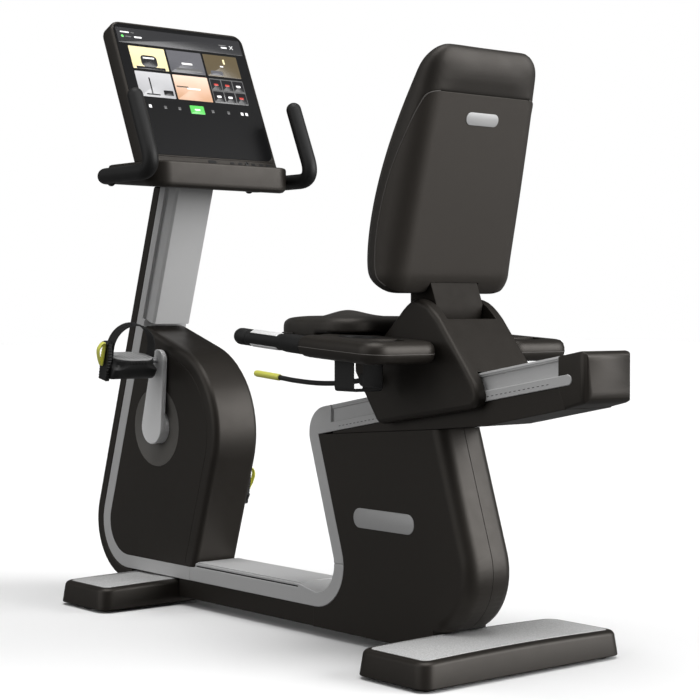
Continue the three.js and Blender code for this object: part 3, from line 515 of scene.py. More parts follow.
def build_end_cap():
    """The rail's soft-edged cap, with a channel on each side that the rib's end lies in."""
    node = "rail_end_cap"
    low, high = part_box(node)
    front = low.x - 0.020
    corners = [(front, 0, 0.5320), (high.x + 0.0005, 0, 0.5550), (high.x - 0.0045, 0, 0.6548),
               (front, 0, rail_z(front))]
    outline = [(p.x, p.z) for p in round_path(corners, [0.020, 0.020], 8)]

    def place(a, b, height):
        return Vector((a, height, b))

    cap = slab("end_cap_cover", outline, low.y, high.y, 0.007, 0.007, place, 6)
    plan = rounded_rectangle(front - 0.05, high.x, low.y, high.y, 0.020, 8)
    carve(cap, slab("plan_tool", plan, 0.50, 0.70, 0.0, 0.0, flat, 1), "INTERSECT")
    seam = [(front - 0.05, 0.50), (0.8320, 0.50), (low.x, 0.5823), (low.x, 0.75), (front - 0.05, 0.75)]
    carve(cap, side_tool("front_tool", seam, 0.1))
    clearance = 0.4 * MM
    for _, sign in SIDES:
        rib = clean_copy("rib_tool", "seat_rail")
        rib.data.transform(Matrix.Translation((clearance, sign * clearance, 0)))
        carve(cap, rib)
    smooth_by_angle(cap.data, 40.0)
    stand_for(cap, node)


def build_step_plate():
    """A thin flat tread on the base rail, and a near-black strip of painted shadow in the groove below it."""
    x0, x1 = -0.412, -0.012
    for side, sign in SIDES:
        y_low, y_high = sorted((sign * 0.0621, sign * 0.0630))
        # painted shadow: a near-black strip along the groove under the tread's edge
        line = block("tread_shadow_" + side, (x0 - 0.001, y_low, 0.1031), (x1 + 0.002, y_high, 0.1059), 0.0)
        detail(line, "base_rail", SHADE_AND_PORT_BLACK)
    plate = block("tread_plate", (x0, -0.061, 0.1122), (x1, 0.061, 0.1142), 0.0007)
    detail(plate, "base_rail", LOOKS["silver_paint"])


def build_foot(end):
    """A wide foot with flared sides, a speckled mat let into its top and rubber pads below."""
    low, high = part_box(end + "_foot")
    middle_x = (low.x + high.x) / 2
    half = high.y
    arch = 0.0045
    outline = rounded_rectangle(low.x, high.x, low.y, high.y, 0.030, 8)

    def place(x, y, z):
        share = (z - low.z) / (high.z - low.z)
        pull = 0.006 * share
        return Vector((x - math.copysign(pull, x - middle_x) * min(1, abs(x - middle_x) / 0.05),
                       y - math.copysign(pull, y) * min(1, abs(y) / 0.1),
                       z - arch * (y / half) ** 2 * share))

    def dense(points, step=0.03):
        filled = []
        for i, (x, y) in enumerate(points):
            nx, ny = points[(i + 1) % len(points)]
            parts = max(1, int(math.hypot(nx - x, ny - y) / step))
            filled += [(x + (nx - x) * k / parts, y + (ny - y) * k / parts) for k in range(parts)]
        return filled

    body = slab(end + "_foot_body", dense(outline), low.z, high.z, 0.010, 0.003, place, 6)
    stand_for(body, end + "_foot")
    proud = 0.0012
    mat = slab(end + "_foot_mat", dense(inset(outline, 0.016)), high.z - 0.004, high.z + proud, proud, 0.0,
               place, 3)
    detail(mat, end + "_foot", FOOT_MAT)
    for side, _ in SIDES:
        node = "%s_foot_pad_%s" % (end, side)
        box_low, box_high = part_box(node)
        radius = (box_high.x - box_low.x) / 2
        centre = ((box_low.x + box_high.x) / 2, (box_low.y + box_high.y) / 2, 0)
        profile = [(0, 0), (radius - 0.002, 0), (radius, 0.0015), (radius - 0.001, 0.004),
                   (radius - 0.003, box_high.z), (0, box_high.z)]
        stand_for(turned(node + "_rubber", profile, centre, (0, 0, 1), 36), node)


# ---------------------------------------------------------------- shrouds and drive

def build_shrouds():
    dress("front_shroud_wrap", 0.0007, 60.0, tidy=False)
    badge_outline = rounded_rectangle(-0.098, 0.098, -0.0215, 0.0215, 0.021, 10)
    for side, sign in SIDES:
        dress("front_shroud_panel_" + side, 0.0006, 60.0, tidy=False)
        dress("rear_shroud_" + side, 0.0008, 60.0)

        def place(a, b, height, sign=sign):
            return Vector((0.285 + a, sign * (BODY_HALF + height), 0.280 + b))

        plate = slab("side_badge_" + side, badge_outline, -0.001, 0.0014, 0.0007, 0.0, place, 3)
        detail(plate, "rear_shroud_" + side, BADGE)


def build_drive():
    for node in ("drive_bracket", "crank_axle", "flywheel", "drive_pulley", "drive_belt"):
        dress(node, 0.0006)
    for side, _ in SIDES:
        dress("crank_bearing_" + side, 0.0005)
        dress("crank_disc_" + side, 0.0, material=DISC_GREY)
        dress("pedal_spindle_" + side, 0.0005)
        dress("crank_arm_" + side, 0.0012, 50.0)


# ---------------------------------------------------------------- pedals

PEDAL_TILT = math.radians(12)


def at_pedal(piece, axis):
    """Moves a piece drawn about the pedal's own axis onto the tilted pedal."""
    piece.data.transform(Matrix.Translation(axis) @ Matrix.Rotation(PEDAL_TILT, 4, "Y"))
    return piece


def build_pedals():
    for side, sign in SIDES:
        spindle_low, spindle_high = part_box("pedal_spindle_" + side)
        axis = Vector(((spindle_low.x + spindle_high.x) / 2, 0, (spindle_low.z + spindle_high.z) / 2))
        build_pedal(side, sign, axis)
        build_strap(side, sign, axis)
        build_buckle(side, sign, axis)


def toothed(outline, pitch, depth):
    """The outline with small teeth cut into it."""
    points = [Vector(p) for p in outline]
    lengths = [(points[(k + 1) % len(points)] - p).length for k, p in enumerate(points)]
    count = int(sum(lengths) / pitch) * 4
    step = sum(lengths) / count
    samples = []
    k = 0
    walked = 0.0
    for i in range(count):
        while walked + lengths[k] < i * step:
            walked += lengths[k]
            k += 1
        share = (i * step - walked) / lengths[k]
        samples.append(tuple(points[k].lerp(points[(k + 1) % len(points)], share)))
    low = inset(samples, depth)
    return [low[i] if i % 4 in (0, 1) else samples[i] for i in range(count)]


def build_pedal(side, sign, axis):
    """The cradle, the oval tread pad with its toothed rim, and the jagged outer plate."""
    def place(a, b, height):
        return Vector((a, sign * b, height))

    levels = ((-0.040, 0.022, 0.008), (-0.038, 0.027, 0.010), (-0.030, 0.036, 0.012), (-0.014, 0.0435, 0.014),
              (-0.008, 0.0440, 0.030), (-0.002, 0.0445, 0.042), (0.0085, 0.0445, 0.0425))
    rings = [[place(a, b, height) for a, b in rounded_rectangle(-half, half, 0.1015, 0.2255, radius, 10)]
             for height, half, radius in levels]
    body = rings_mesh("pedal_cradle_" + side, rings)
    carve(body, turned("bore_tool", [(0.0076, 0), (0.0076, 0.13)], place(0, 0.090, 0), (0, sign, 0)))
    smooth_by_angle(body.data, 35.0)
    stand_for(at_pedal(soften(body, 0.0012, 2, 50.0), axis), "pedal_" + side)

    oval = rounded_rectangle(-0.0455, 0.0455, 0.1035, 0.2235, 0.044, 16)
    rim = slab("pedal_rim_" + side, toothed(oval, 0.0042, 0.0013), 0.0005, 0.0102, 0.0006, 0.0006, place, 2)
    detail(at_pedal(rim, axis), "pedal_" + side, LOOKS["rubber"], "rubber")
    pad = slab("pedal_pad_" + side, inset(oval, 0.0028), 0.0098, 0.0132, 0.0014, 0.0, place, 4)
    detail(at_pedal(pad, axis), "pedal_" + side, PEDAL_GREY)
    for k in range(8):
        b = 0.120 + 0.0125 * k
        reach = 0.034 if 0 < k < 7 else 0.027
        rib = block("pedal_rib_%s_%d" % (side, k), (-reach, sign * b - 0.0011, 0.0126),
                    (reach, sign * b + 0.0011, 0.0140), 0.0005)
        detail(at_pedal(rib, axis), "pedal_" + side, PEDAL_GREY)

    def upright(a, b, height):
        return Vector((a, sign * height, b))

    plate_outline = ((-0.017, -0.046), (0.017, -0.046), (0.019, 0.008), (0.013, 0.050), (-0.013, 0.050),
                     (-0.019, 0.008))
    plate = slab("pedal_plate_" + side, toothed(plate_outline, 0.0070, 0.0016), 0.2245, 0.236, 0.0015, 0.001,
                 upright, 3)
    detail(at_pedal(plate, axis), "pedal_" + side, LOOKS["black_plastic"])


def build_strap(side, sign, axis):
    """The foot strap: a flat arch with a raised edge on both rims and small dimples."""
    middle = sign * 0.1625
    span = 0.059
    base = 0.0113
    wall = 0.0227
    crown = 0.0585
    path = [(0, middle + span, base), (0, middle + span, base + wall * 0.5)]
    path += [(0, middle + span * math.cos(t), base + wall + crown * math.sin(t))
             for t in (math.pi * k / 40 for k in range(41))]
    path += [(0, middle - span, base + wall * 0.5), (0, middle - span, base)]
    half = 0.0155
    rim, thick, thin = 0.003, 0.0015, 0.0008
    slope = 0.0006
    section = [(-half, -thick), (half, -thick), (half, thick), (half - rim, thick),
               (half - rim - slope, thin), (-half + rim + slope, thin), (-half + rim, thick), (-half, thick)]
    strap = sweep("strap_band_" + side, path, section, (1, 0, 0), 30.0)
    stand_for(at_pedal(strap, axis), "pedal_strap_" + side)
    for k in range(3, 12):
        t = math.pi * (k / 15.0)
        centre = Vector((0, middle + span * math.cos(t), base + wall + crown * math.sin(t)))
        normal = Vector((0, math.cos(t) / span, math.sin(t) / crown)).normalized()
        dimple = turned("strap_dimple_%s_%d" % (side, k),
                        [(0, 0.0005), (0.0024, 0.0005), (0.0026, 0.0012), (0.0020, 0.0016), (0, 0.0014)],
                        centre, normal, 16)
        detail(at_pedal(dimple, axis), "pedal_strap_" + side, LOOKS["rubber"])


def build_buckle(side, sign, axis):
    """The buckle: an open yellow loop with a dark hinge pin."""
    dress("strap_buckle_" + side, 0.0012, 40.0, tidy=False)
    profile = [(0, -0.0128), (0.0015, -0.0128), (0.0018, -0.012), (0.0018, 0.012), (0.0015, 0.0128),
               (0, 0.0128)]
    hinge = (0, sign * 0.238, 0.046)
    pin = turned("buckle_pin_" + side, profile, hinge, (1, 0, 0), 20)
    detail(at_pedal(pin, axis), "strap_buckle_" + side, LOOKS["black_plastic"], "black_plastic")


# ---------------------------------------------------------------- console

def leaned(across, up, out):
    """A point in the display's leaning plane: across is +Y, up its height, out towards the rider."""
    origin = Vector((-0.428, 0, 1.083))
    rise = Vector((-math.sin(DISPLAY_LEAN), 0, math.cos(DISPLAY_LEAN)))
    face = Vector((math.cos(DISPLAY_LEAN), 0, math.sin(DISPLAY_LEAN)))
    return origin + Vector((0, across, 0)) + rise * up + face * out


def build_console():
    dress("console_tray", 0.001, 50.0)
    dress("display_housing", 0.0012, 50.0, tidy=False)
    dress("display_glass", 0.0006)
    build_ports()
    build_picture()
    for side, sign in SIDES:
        build_handlebar(side, sign)


def build_ports():
    """A lip under the glass, with a row of small dark ports, a sensor and a round socket below it."""
    def strip(name, across_low, across_high, up_low, up_high, out, material):
        radius = 0.3 * min(across_high - across_low, up_high - up_low)
        outline = rounded_rectangle(across_low, across_high, up_low, up_high, radius, 4)
        detail(slab(name, outline, -0.001, out, 0.0006, 0.0, leaned, 3), "display_housing", material)

    strip("console_lip", -0.190, 0.190, 0.0195, 0.0225, 0.0016, LOOKS["dark_plastic"])
    for k, across in enumerate((0.060, 0.085, 0.125, 0.150, 0.170)):
        strip("console_port_%d" % k, across - 0.006, across + 0.006, 0.008, 0.0145, 0.0008, SHADE_AND_PORT_BLACK)
    strip("console_sensor", -0.012, 0.012, 0.008, 0.016, 0.0008, SHADE_AND_PORT_BLACK)
    profile = [(0, -0.001), (0.006, -0.001), (0.006, 0.001), (0.005, 0.0018), (0.003, 0.0018),
               (0.0028, 0.0002), (0, 0.0002)]
    outwards = leaned(0, 0, 1) - leaned(0, 0, 0)
    jack = turned("console_jack", profile, leaned(0.105, 0.0115, 0.0), outwards, 24)
    detail(jack, "display_housing", LOOKS["black_plastic"], "black_plastic")


def build_picture():
    """A lit page of plain picture tiles, a row of controls and one green key, with no lettering."""
    low_up, high_up = 0.024, 0.385
    half = 0.193
    left, right = -half + 0.030, half - 0.030
    depth_low, depth_high = -0.0009, -0.00005

    def up(share):
        return high_up - share * (high_up - low_up)

    def tile(name, a0, a1, top, bottom, material, radius=0.002, lift=0.0):
        outline = rounded_rectangle(a0, a1, up(bottom), up(top), radius, 4)
        piece = slab(name, outline, depth_low, depth_high + lift, 0.0002, 0.0, leaned, 2)
        return detail(piece, "display_glass", material)

    def shade(name, low, high, strength=0.5, mottle=0.3, top=0.17, bottom=0.56):
        z_low = leaned(0, up(bottom), 0).z
        z_high = leaned(0, up(top), 0).z
        return glowing(name, low, high, z_low, z_high, strength, mottle)

    bar = shade("ui_bar", (0.020, 0.020, 0.021), (0.028, 0.028, 0.030), 0.3, 0.0)
    tile("ui_header", -half + 0.006, half - 0.006, 0.03, 0.15, bar)
    gap = 0.006
    width = (right - left - 2 * gap) / 3
    columns = [left + k * (width + gap) for k in range(3)]
    looks = [
        shade("ui_cream", (0.55, 0.45, 0.22), (0.75, 0.65, 0.38), 0.5, 0.2),
        shade("ui_slate", (0.03, 0.03, 0.035), (0.10, 0.10, 0.11), 0.5, 0.5),
        shade("ui_umber", (0.02, 0.015, 0.01), (0.09, 0.07, 0.04), 0.5, 0.8),
        shade("ui_pearl", (0.30, 0.30, 0.31), (0.55, 0.55, 0.56), 0.5, 0.2),
        shade("ui_dune", (0.42, 0.22, 0.11), (0.68, 0.50, 0.40), 0.55, 0.2, 0.36, 0.56),
    ]
    dark = shade("ui_dark", (0.012, 0.012, 0.013), (0.02, 0.02, 0.022), 0.3, 0.0)
    pale = shade("ui_pale", (0.75, 0.75, 0.75), (0.75, 0.75, 0.75), 0.6, 0.0)
    grey = shade("ui_grey", (0.10, 0.10, 0.10), (0.12, 0.12, 0.12), 0.4, 0.0)
    green = shade("ui_green", (0.09, 0.45, 0.09), (0.13, 0.55, 0.13), 0.6, 0.0)
    red = shade("ui_red", (0.45, 0.05, 0.04), (0.45, 0.05, 0.04), 0.5, 0.0)
    rows = ((0.17, 0.345), (0.365, 0.56))
    for k in range(5):
        top, bottom = rows[k // 3]
        a = columns[k % 3]
        tile("ui_tile_%d" % k, a, a + width, top, bottom, looks[k])

    def shape(name, column, start, end, top, bottom, material, radius, lift):
        """A plain mark on a tile; an end of zero or less counts back from the tile's right edge."""
        left_edge = columns[column]
        right_edge = left_edge + end + (width if end <= 0 else 0)
        tile(name, left_edge + start, right_edge, top, bottom, material, radius, lift)

    low, raised = 0.0003, 0.0005
    shape("ui_shape_0a", 0, 0.028, 0.075, 0.235, 0.325, dark, 0.010, low)
    shape("ui_shape_0b", 0, 0.010, -0.010, 0.325, 0.345, dark, 0.001, low)
    shape("ui_caption_0", 0, 0.035, 0.068, 0.250, 0.262, pale, 0.001, raised)
    shape("ui_shape_1a", 1, 0.018, -0.008, 0.305, 0.330, grey, 0.003, low)
    shape("ui_caption_1", 1, 0.038, 0.070, 0.262, 0.276, pale, 0.001, raised)
    shape("ui_shape_2a", 2, 0.058, 0.064, 0.20, 0.24, looks[0], 0.002, low)
    shape("ui_shape_2b", 2, 0.012, 0.050, 0.30, 0.335, looks[1], 0.004, low)
    shape("ui_caption_2", 2, 0.046, 0.056, 0.255, 0.265, pale, 0.001, raised)
    shape("ui_shape_3a", 0, 0.020, 0.060, 0.535, 0.545, dark, 0.002, low)
    shape("ui_shape_3b", 0, 0.036, 0.040, 0.41, 0.535, dark, 0.001, low)
    shape("ui_shape_3c", 0, 0.072, 0.100, 0.50, 0.54, dark, 0.002, low)
    shape("ui_shape_4a", 1, 0.004, 0.040, 0.452, 0.462, looks[2], 0.0015, low)
    shape("ui_caption_4", 1, 0.035, 0.075, 0.462, 0.474, pale, 0.001, raised)
    tile("ui_grid", columns[2], columns[2] + width, rows[1][0], rows[1][1], grey)
    cell = (width - 0.010) / 3
    for k in range(6):
        a = columns[2] + 0.002 + (k % 3) * (cell + 0.003)
        top = rows[1][0] + 0.008 + (k // 3) * 0.095
        mark = red if k in (0, 1, 5) else pale
        tile("ui_cell_%d" % k, a, a + cell, top, top + 0.083, dark, 0.002, low)
        tile("ui_cell_mark_%d" % k, a + 0.009, a + cell - 0.009, top + 0.033, top + 0.049, mark, 0.002,
             raised)
    tile("ui_key", -0.024, 0.018, 0.600, 0.665, green, 0.002)
    tile("ui_key_mark", -0.011, 0.005, 0.626, 0.638, pale, 0.001, 0.0003)
    for k, across in enumerate((-0.142, -0.098, -0.056, 0.044, 0.092, 0.134, 0.148)):
        mark = pale if k in (0, 5, 6) else grey
        tile("ui_icon_%d" % k, across - 0.004, across + 0.004, 0.622, 0.645, mark, 0.001)
    header_marks = (
        ("ui_head_mark_0", -0.176, -0.150, 0.060, 0.070, pale, 0.001),
        ("ui_head_mark_1", -0.146, -0.136, 0.062, 0.068, grey, 0.001),
        ("ui_head_dot", -0.176, -0.168, 0.088, 0.108, green, 0.0035),
        ("ui_head_mark_2", -0.164, -0.146, 0.094, 0.102, grey, 0.001),
        ("ui_head_mark_3", -0.138, -0.116, 0.092, 0.104, pale, 0.001),
        ("ui_head_mark_4", 0.118, 0.142, 0.078, 0.085, grey, 0.001),
        ("ui_head_mark_5", 0.124, 0.142, 0.094, 0.106, pale, 0.001),
    )
    for mark in header_marks:
        tile(*mark, low)
    for k, slope in enumerate((-1, 1)):
        points = [leaned(0.156 + 0.005 * s, up(0.094) + 0.005 * s * slope, 0.0002) for s in (-1, 1)]
        detail(sweep("ui_close_%d" % k, points, circle(0.0008, 8), (1, 0, 0)), "display_glass", pale)


def round_path(points, cuts, steps=12):
    """A path of straight runs with rounded corners."""
    points = [Vector(p) for p in points]
    path = [points[0]]
    for i, corner in enumerate(points[1:-1]):
        before = corner + (points[i] - corner).normalized() * cuts[i]
        after = corner + (points[i + 2] - corner).normalized() * cuts[i]
        for k in range(steps + 1):
            t = k / steps
            path.append(before * (1 - t) ** 2 + corner * (2 * t * (1 - t)) + after * t ** 2)
    path.append(points[-1])
    return path


def build_handlebar(side, sign):
    """The upright rider grip: rubber over a bent tube, closed by a domed plug."""
    y = sign * 0.237
    radius = 0.019
    base_z, top_z = 1.054, 1.236
    root_x = -0.563

    def upright_x(z):
        return -0.351 - (z - 1.100) * math.tan(DISPLAY_LEAN)

    corner = Vector((upright_x(base_z), y, base_z))
    top = Vector((upright_x(top_z), y, top_z))
    path = round_path([(root_x, sign * 0.2073, base_z), (root_x, y, base_z), corner, top], [0.028, 0.058])
    tip = (top - corner).normalized()
    scales = [1.0] * len(path)
    for k in range(1, 9):
        turn = math.pi / 2 * k / 8
        path.append(top + tip * (radius * math.sin(turn)))
        scales.append(max(0.02, math.cos(turn)))
    rings = []
    across = Vector((0, 0, 1))
    for i, point in enumerate(path):
        ahead = (path[min(i + 1, len(path) - 1)] - path[max(i - 1, 0)]).normalized()
        across = (across - ahead * across.dot(ahead)).normalized()
        other = ahead.cross(across)
        rings.append([point + across * u + other * v for u, v in circle(radius * scales[i], 40)])
    bar = rings_mesh("handlebar_sleeve_" + side, rings)
    stand_for(bar, "handlebar_" + side)
    profile = [(0.0188, 0), (0.0225, 0), (0.0225, 0.003), (0.0205, 0.0045), (0.0188, 0.0045), (0.0188, 0)]
    collar = turned("handlebar_collar_" + side, profile, (root_x, sign * 0.2072, base_z), (0, sign, 0), 40)
    detail(collar, "handlebar_" + side, LOOKS["dark_plastic"], "dark_plastic")


# ---------------------------------------------------------------- seat

def build_carriage():
    """The carriage, the post that climbs from it into the backrest, the seat pan and the lock pin."""
    dress("carriage_shell", 0.0012, 50.0, tidy=False)
    dress("lock_pin", 0.0005)
    dress("back_post", 0.0015, 50.0, material=POST_DARK)
    dress("seat_pan", 0.002)


def smooth_curve(points, steps):
    """A Catmull-Rom curve through the points."""
    vectors = [Vector(p) for p in points]
    ends = [vectors[0] * 2 - vectors[1]] + vectors + [vectors[-1] * 2 - vectors[-2]]
    curve = []
    for i in range(1, len(ends) - 2):
        a, b, c, d = ends[i - 1:i + 3]
        for k in range(steps):
            t = k / steps
            curve.append(0.5 * (2 * b + (c - a) * t + (2 * a - 5 * b + 4 * c - d) * t ** 2
                                + (3 * b - a - 3 * c + d) * t ** 3))
    curve.append(vectors[-1])
    return curve


BACK_BOTTOM = 0.762
BACK_TOP = 1.262
BACK_HALF = 0.178
BACK_DEPTH = 0.110  # depth of the plan that the front and rear curves then stretch
BACK_CORNER = 0.050
BACK_RIM = 0.042  # rounding of the top and bottom
BACK_LEAN = math.radians(13.2)  # lean of its rear face
BACK_SEAM = [(0.452, 0.700), (0.416, 0.768), (0.392, 0.800), (0.389, 0.847), (0.396, 0.899), (0.412, 0.959),
             (0.435, 1.017), (0.467, 1.077), (0.500, 1.137), (0.520, 1.162), (0.560, 1.168), (0.640, 1.172)]


def back_front(z):
    """X of the cushion's front face: fullest at the lower back, curving away above and below."""
    above = max(0.0, z - 0.842) * 1000
    below = max(0.0, 0.842 - z) * 1000
    return (328 + 0.0061 * above ** 1.7 + 8.35e-5 * below ** 3) * MM


def back_rear(z):
    """X of the flat rear face."""
    return 0.438 + math.tan(BACK_LEAN) * (z - 0.779)


def back_taper(z):
    """How much narrower the backrest gets towards its top."""
    slope = 0.14 * max(0.0, (z - 0.830) / 0.400) ** 2.2
    crown = 0.06 * max(0.0, (z - 1.190) / 0.072) ** 3
    return 1 - slope - crown


def back_form(name, shrink):
    """The whole backrest: its plan is a rounded block that follows the front and rear curves."""
    outline = rounded_rectangle(0, BACK_DEPTH, -BACK_HALF, BACK_HALF, BACK_CORNER, 12)
    turns = [math.pi / 2 * k / 8 for k in range(9)]
    low = [(BACK_BOTTOM + BACK_RIM * (1 - math.cos(t)), BACK_RIM * (1 - math.sin(t))) for t in turns]
    high = [(BACK_TOP - BACK_RIM * (1 - math.sin(t)), BACK_RIM * (1 - math.cos(t))) for t in turns]
    count = 40
    span = BACK_TOP - BACK_BOTTOM - 2 * BACK_RIM
    between = [(BACK_BOTTOM + BACK_RIM + span * k / count, 0.0) for k in range(1, count)]
    rings = []
    for z, pull in low + between + high:
        front = back_front(z)
        thick = back_rear(z) - front
        level = z + (BACK_BOTTOM + 0.25 - z) * shrink * 4
        rings.append([Vector((front + x / BACK_DEPTH * thick, y * back_taper(z), level))
                      for x, y in inset(outline, pull + shrink)])
    return rings_mesh(name, rings, 60.0)


def back_side(x, z):
    """Half width of the backrest at a point of its side view."""
    end = min(z - BACK_BOTTOM, BACK_TOP - z)
    pull = BACK_RIM - math.sqrt(max(0.0, BACK_RIM ** 2 - (BACK_RIM - end) ** 2)) if end < BACK_RIM else 0.0
    corner = BACK_CORNER - pull
    share = (x - back_front(z)) / (back_rear(z) - back_front(z))
    distance = max(0.0, min(share, 1 - share) * BACK_DEPTH - pull)
    cut = corner - math.sqrt(max(0.0, corner ** 2 - (corner - distance) ** 2)) if distance < corner else 0.0
    return (BACK_HALF - pull - cut) * back_taper(z)


def side_tool(name, outline, half):
    """A block over an outline drawn in X and Z."""
    return rings_mesh(name, [[Vector((x, y, z)) for x, z in outline] for y in (-half, half)])


def seam_tool(offset):
    """A block behind the seam between the hard shell and the cushion."""
    line = smooth_curve(BACK_SEAM, 8)
    return side_tool("seam_tool", [(p.x + offset, p.y) for p in line] + [(0.640, 0.700)], 0.3)


def post_tool():
    """The room that the back post takes inside the backrest."""
    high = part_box("back_post")[1]
    depth = 0.080
    rear = [(0.429, 0.700), (0.448, 0.711), (0.452, 0.742), (0.431, 0.795), (0.431, high.z + MM)]
    front = [(0.452, high.z + MM), (0.452, 0.742), (0.448, 0.711), (0.429, 0.700)]
    outline = [(x + MM, z) for x, z in rear] + [(x - depth - MM, z) for x, z in front]
    return side_tool("post_tool", outline, high.y + MM)


def build_backrest():
    shell = carve(back_form("back_shell_cover", 0.0), seam_tool(0.0006), "INTERSECT")
    carve(shell, post_tool())
    smooth_by_angle(shell.data, 35.0)
    soften(shell, 0.0012, 3, 60.0)
    stand_for(shell, "back_shell", BACK_VINYL)
    cushion = carve(back_form("back_cushion_soft", 0.0015), seam_tool(0.0))
    carve(cushion, post_tool())
    line = smooth_curve(BACK_SEAM, 8)

    def held(point):
        near = min((point.x - p.x) ** 2 + (point.z - p.y) ** 2 for p in line)
        return near < 0.009 ** 2 or (abs(point.y) < 0.080 and point.z < 0.835 and point.x > 0.35)

    inflate(cushion, held, 0.005)
    stand_for(cushion, "back_cushion")
    build_back_piping(line)
    outline = rounded_rectangle(-0.045, 0.045, -0.013, 0.013, 0.0125, 8)

    def place(a, b, height):
        z = 1.117 + b * math.cos(BACK_LEAN)
        return Vector((back_rear(z) + height * math.cos(BACK_LEAN), a, z - height * math.sin(BACK_LEAN)))

    detail(slab("back_badge", outline, -0.0006, 0.0012, 0.0005, 0.0, place, 3), "back_shell", BADGE)


def build_back_piping(line):
    """The thin welt that covers the join between cushion and shell on both sides."""
    join_points = [p for p in line if 0.775 < p.y < 1.165 and p.x < 0.545]
    for side, sign in SIDES:
        path = [(p.x, sign * (back_side(p.x, p.y) - 0.0004), p.y) for p in join_points]
        welt = sweep("back_welt_" + side, path, circle(0.0012, 12), (1, 0, 0))
        detail(welt, "back_cushion", WELT_AND_SEAM_HIGHLIGHT)


def inflate(piece, held, cap):
    """Remeshes a cushion and lets air pressure swell it, within a cap; held(point) marks what stays put."""
    bpy.context.view_layer.objects.active = piece
    for other in bpy.context.selected_objects:
        other.select_set(False)
    piece.select_set(True)
    piece.data.remesh_voxel_size = 0.005
    piece.data.use_remesh_fix_poles = False
    bpy.ops.object.voxel_remesh()
    rest = [v.co.copy() for v in piece.data.vertices]
    fixed = {i for i, co in enumerate(rest) if held(co)}
    group = piece.vertex_groups.new(name="held")
    group.add(list(fixed), 1.0, "REPLACE")
    cloth = piece.modifiers.new("cloth", "CLOTH")
    cloth.settings.use_pressure = True
    cloth.settings.uniform_pressure_force = 4.0
    cloth.settings.effector_weights.gravity = 0.0
    cloth.settings.vertex_group_mass = "held"
    cloth.settings.tension_stiffness = 12.0
    cloth.settings.compression_stiffness = 12.0
    cloth.point_cache.frame_start = 1
    cloth.point_cache.frame_end = 20
    for number in range(1, 21):
        scene.frame_set(number)
    depsgraph = bpy.context.evaluated_depsgraph_get()
    swollen = [v.co.copy() for v in piece.evaluated_get(depsgraph).data.vertices]
    piece.modifiers.clear()
    piece.vertex_groups.clear()
    scene.frame_set(1)
    rises = even_swelling(piece, swollen, cap)
    normals = [v.normal.copy() for v in piece.data.vertices]
    for vertex, normal, rise in zip(piece.data.vertices, normals, rises):
        vertex.co += normal * rise
    smooth_vertices(piece, 6, fixed)
    smooth_by_angle(piece.data, 80.0)
    finer = piece.modifiers.new("finer", "SUBSURF")
    finer.levels = 1
    finer.render_levels = 1
    bake_modifiers(piece)
    smooth_by_angle(piece.data, 80.0)


def even_swelling(piece, swollen, cap, rounds=24):
    """How far each point moves outwards, shared with its neighbours so that the cushion has no puckers."""
    vertices = piece.data.vertices
    rises = [min(cap, max(0.0, (after - v.co).dot(v.normal))) for v, after in zip(vertices, swollen)]
    pairs = [tuple(edge.vertices) for edge in piece.data.edges]
    for _ in range(rounds):
        totals = list(rises)
        counts = [1] * len(rises)
        for a, b in pairs:
            totals[a] += rises[b]
            totals[b] += rises[a]
            counts[a] += 1
            counts[b] += 1
        rises = [total / count for total, count in zip(totals, counts)]
    return rises


def smooth_vertices(piece, rounds, fixed):
    """Evens out the free points; the fixed ones get a single light round."""
    axes = {"use_axis_x": True, "use_axis_y": True, "use_axis_z": True}
    with editing(piece.data) as work:
        free = [v for v in work.verts if v.index not in fixed]
        bmesh.ops.smooth_vert(work, verts=work.verts, factor=0.4, **axes)
        for _ in range(rounds):
            bmesh.ops.smooth_vert(work, verts=free, factor=0.5, **axes)


def seat_outline(pull, steps=14):
    """The seat's plan, pulled in all round."""
    low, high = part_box("seat_cushion")
    half = high.y - pull
    front_round = 0.110 - pull
    rear_round = 0.080 - pull
    return rounded_rectangle(low.x + pull, high.x - pull, -half, half, rear_round, steps, front_round)


def build_seat_cushion():
    """A cushion with a raised nose between two thigh scoops and a dished middle."""
    low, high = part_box("seat_cushion")
    shrink = 0.003
    cushion = slab("seat_cushion_soft", seat_outline(shrink), low.z + 0.001, high.z - 0.003, 0.016, 0.012,
                   flat, 6)
    carve(cushion, block("step_tool", (0.2138, -0.3, 0.600), (0.400, 0.3, 0.6823), 0.0))

    def held(point):
        return point.z < low.z + 0.008 or (point.x > 0.205 and point.z < 0.690)

    def bump(height, across, half_width, x, centre_x, half_length):
        return height * math.exp(-(across / half_width) ** 2) * math.exp(-((x - centre_x) / half_length) ** 2)

    inflate(cushion, held, 0.006)
    shaped_from = 0.695
    for vertex in cushion.data.vertices:
        co = vertex.co
        if co.z < shaped_from:
            continue
        share = min(1.0, (co.z - shaped_from) / 0.015)
        nose = bump(0.011, co.y, 0.045, co.x, 0.085, 0.055)
        scoop = bump(0.007, abs(co.y) - 0.10, 0.06, co.x, 0.09, 0.07)
        dish = bump(0.006, co.y, 0.12, co.x, 0.21, 0.07)
        co.z += share * (nose - scoop - dish)
    cushion.data.update()
    smooth_by_angle(cushion.data, 80.0)
    stand_for(cushion, "seat_cushion")
    rim = [Vector((x, y, low.z + 0.016)) for x, y in seat_outline(0.0012)]
    rim = [p for p in rim if p.x < 0.21]
    rim.sort(key=lambda p: math.atan2(p.y, -(p.x - 0.22)))
    welt = sweep("seat_welt", rim, circle(0.0017, 12), (0, 0, 1))
    detail(welt, "seat_cushion", LOOKS["upholstery"])


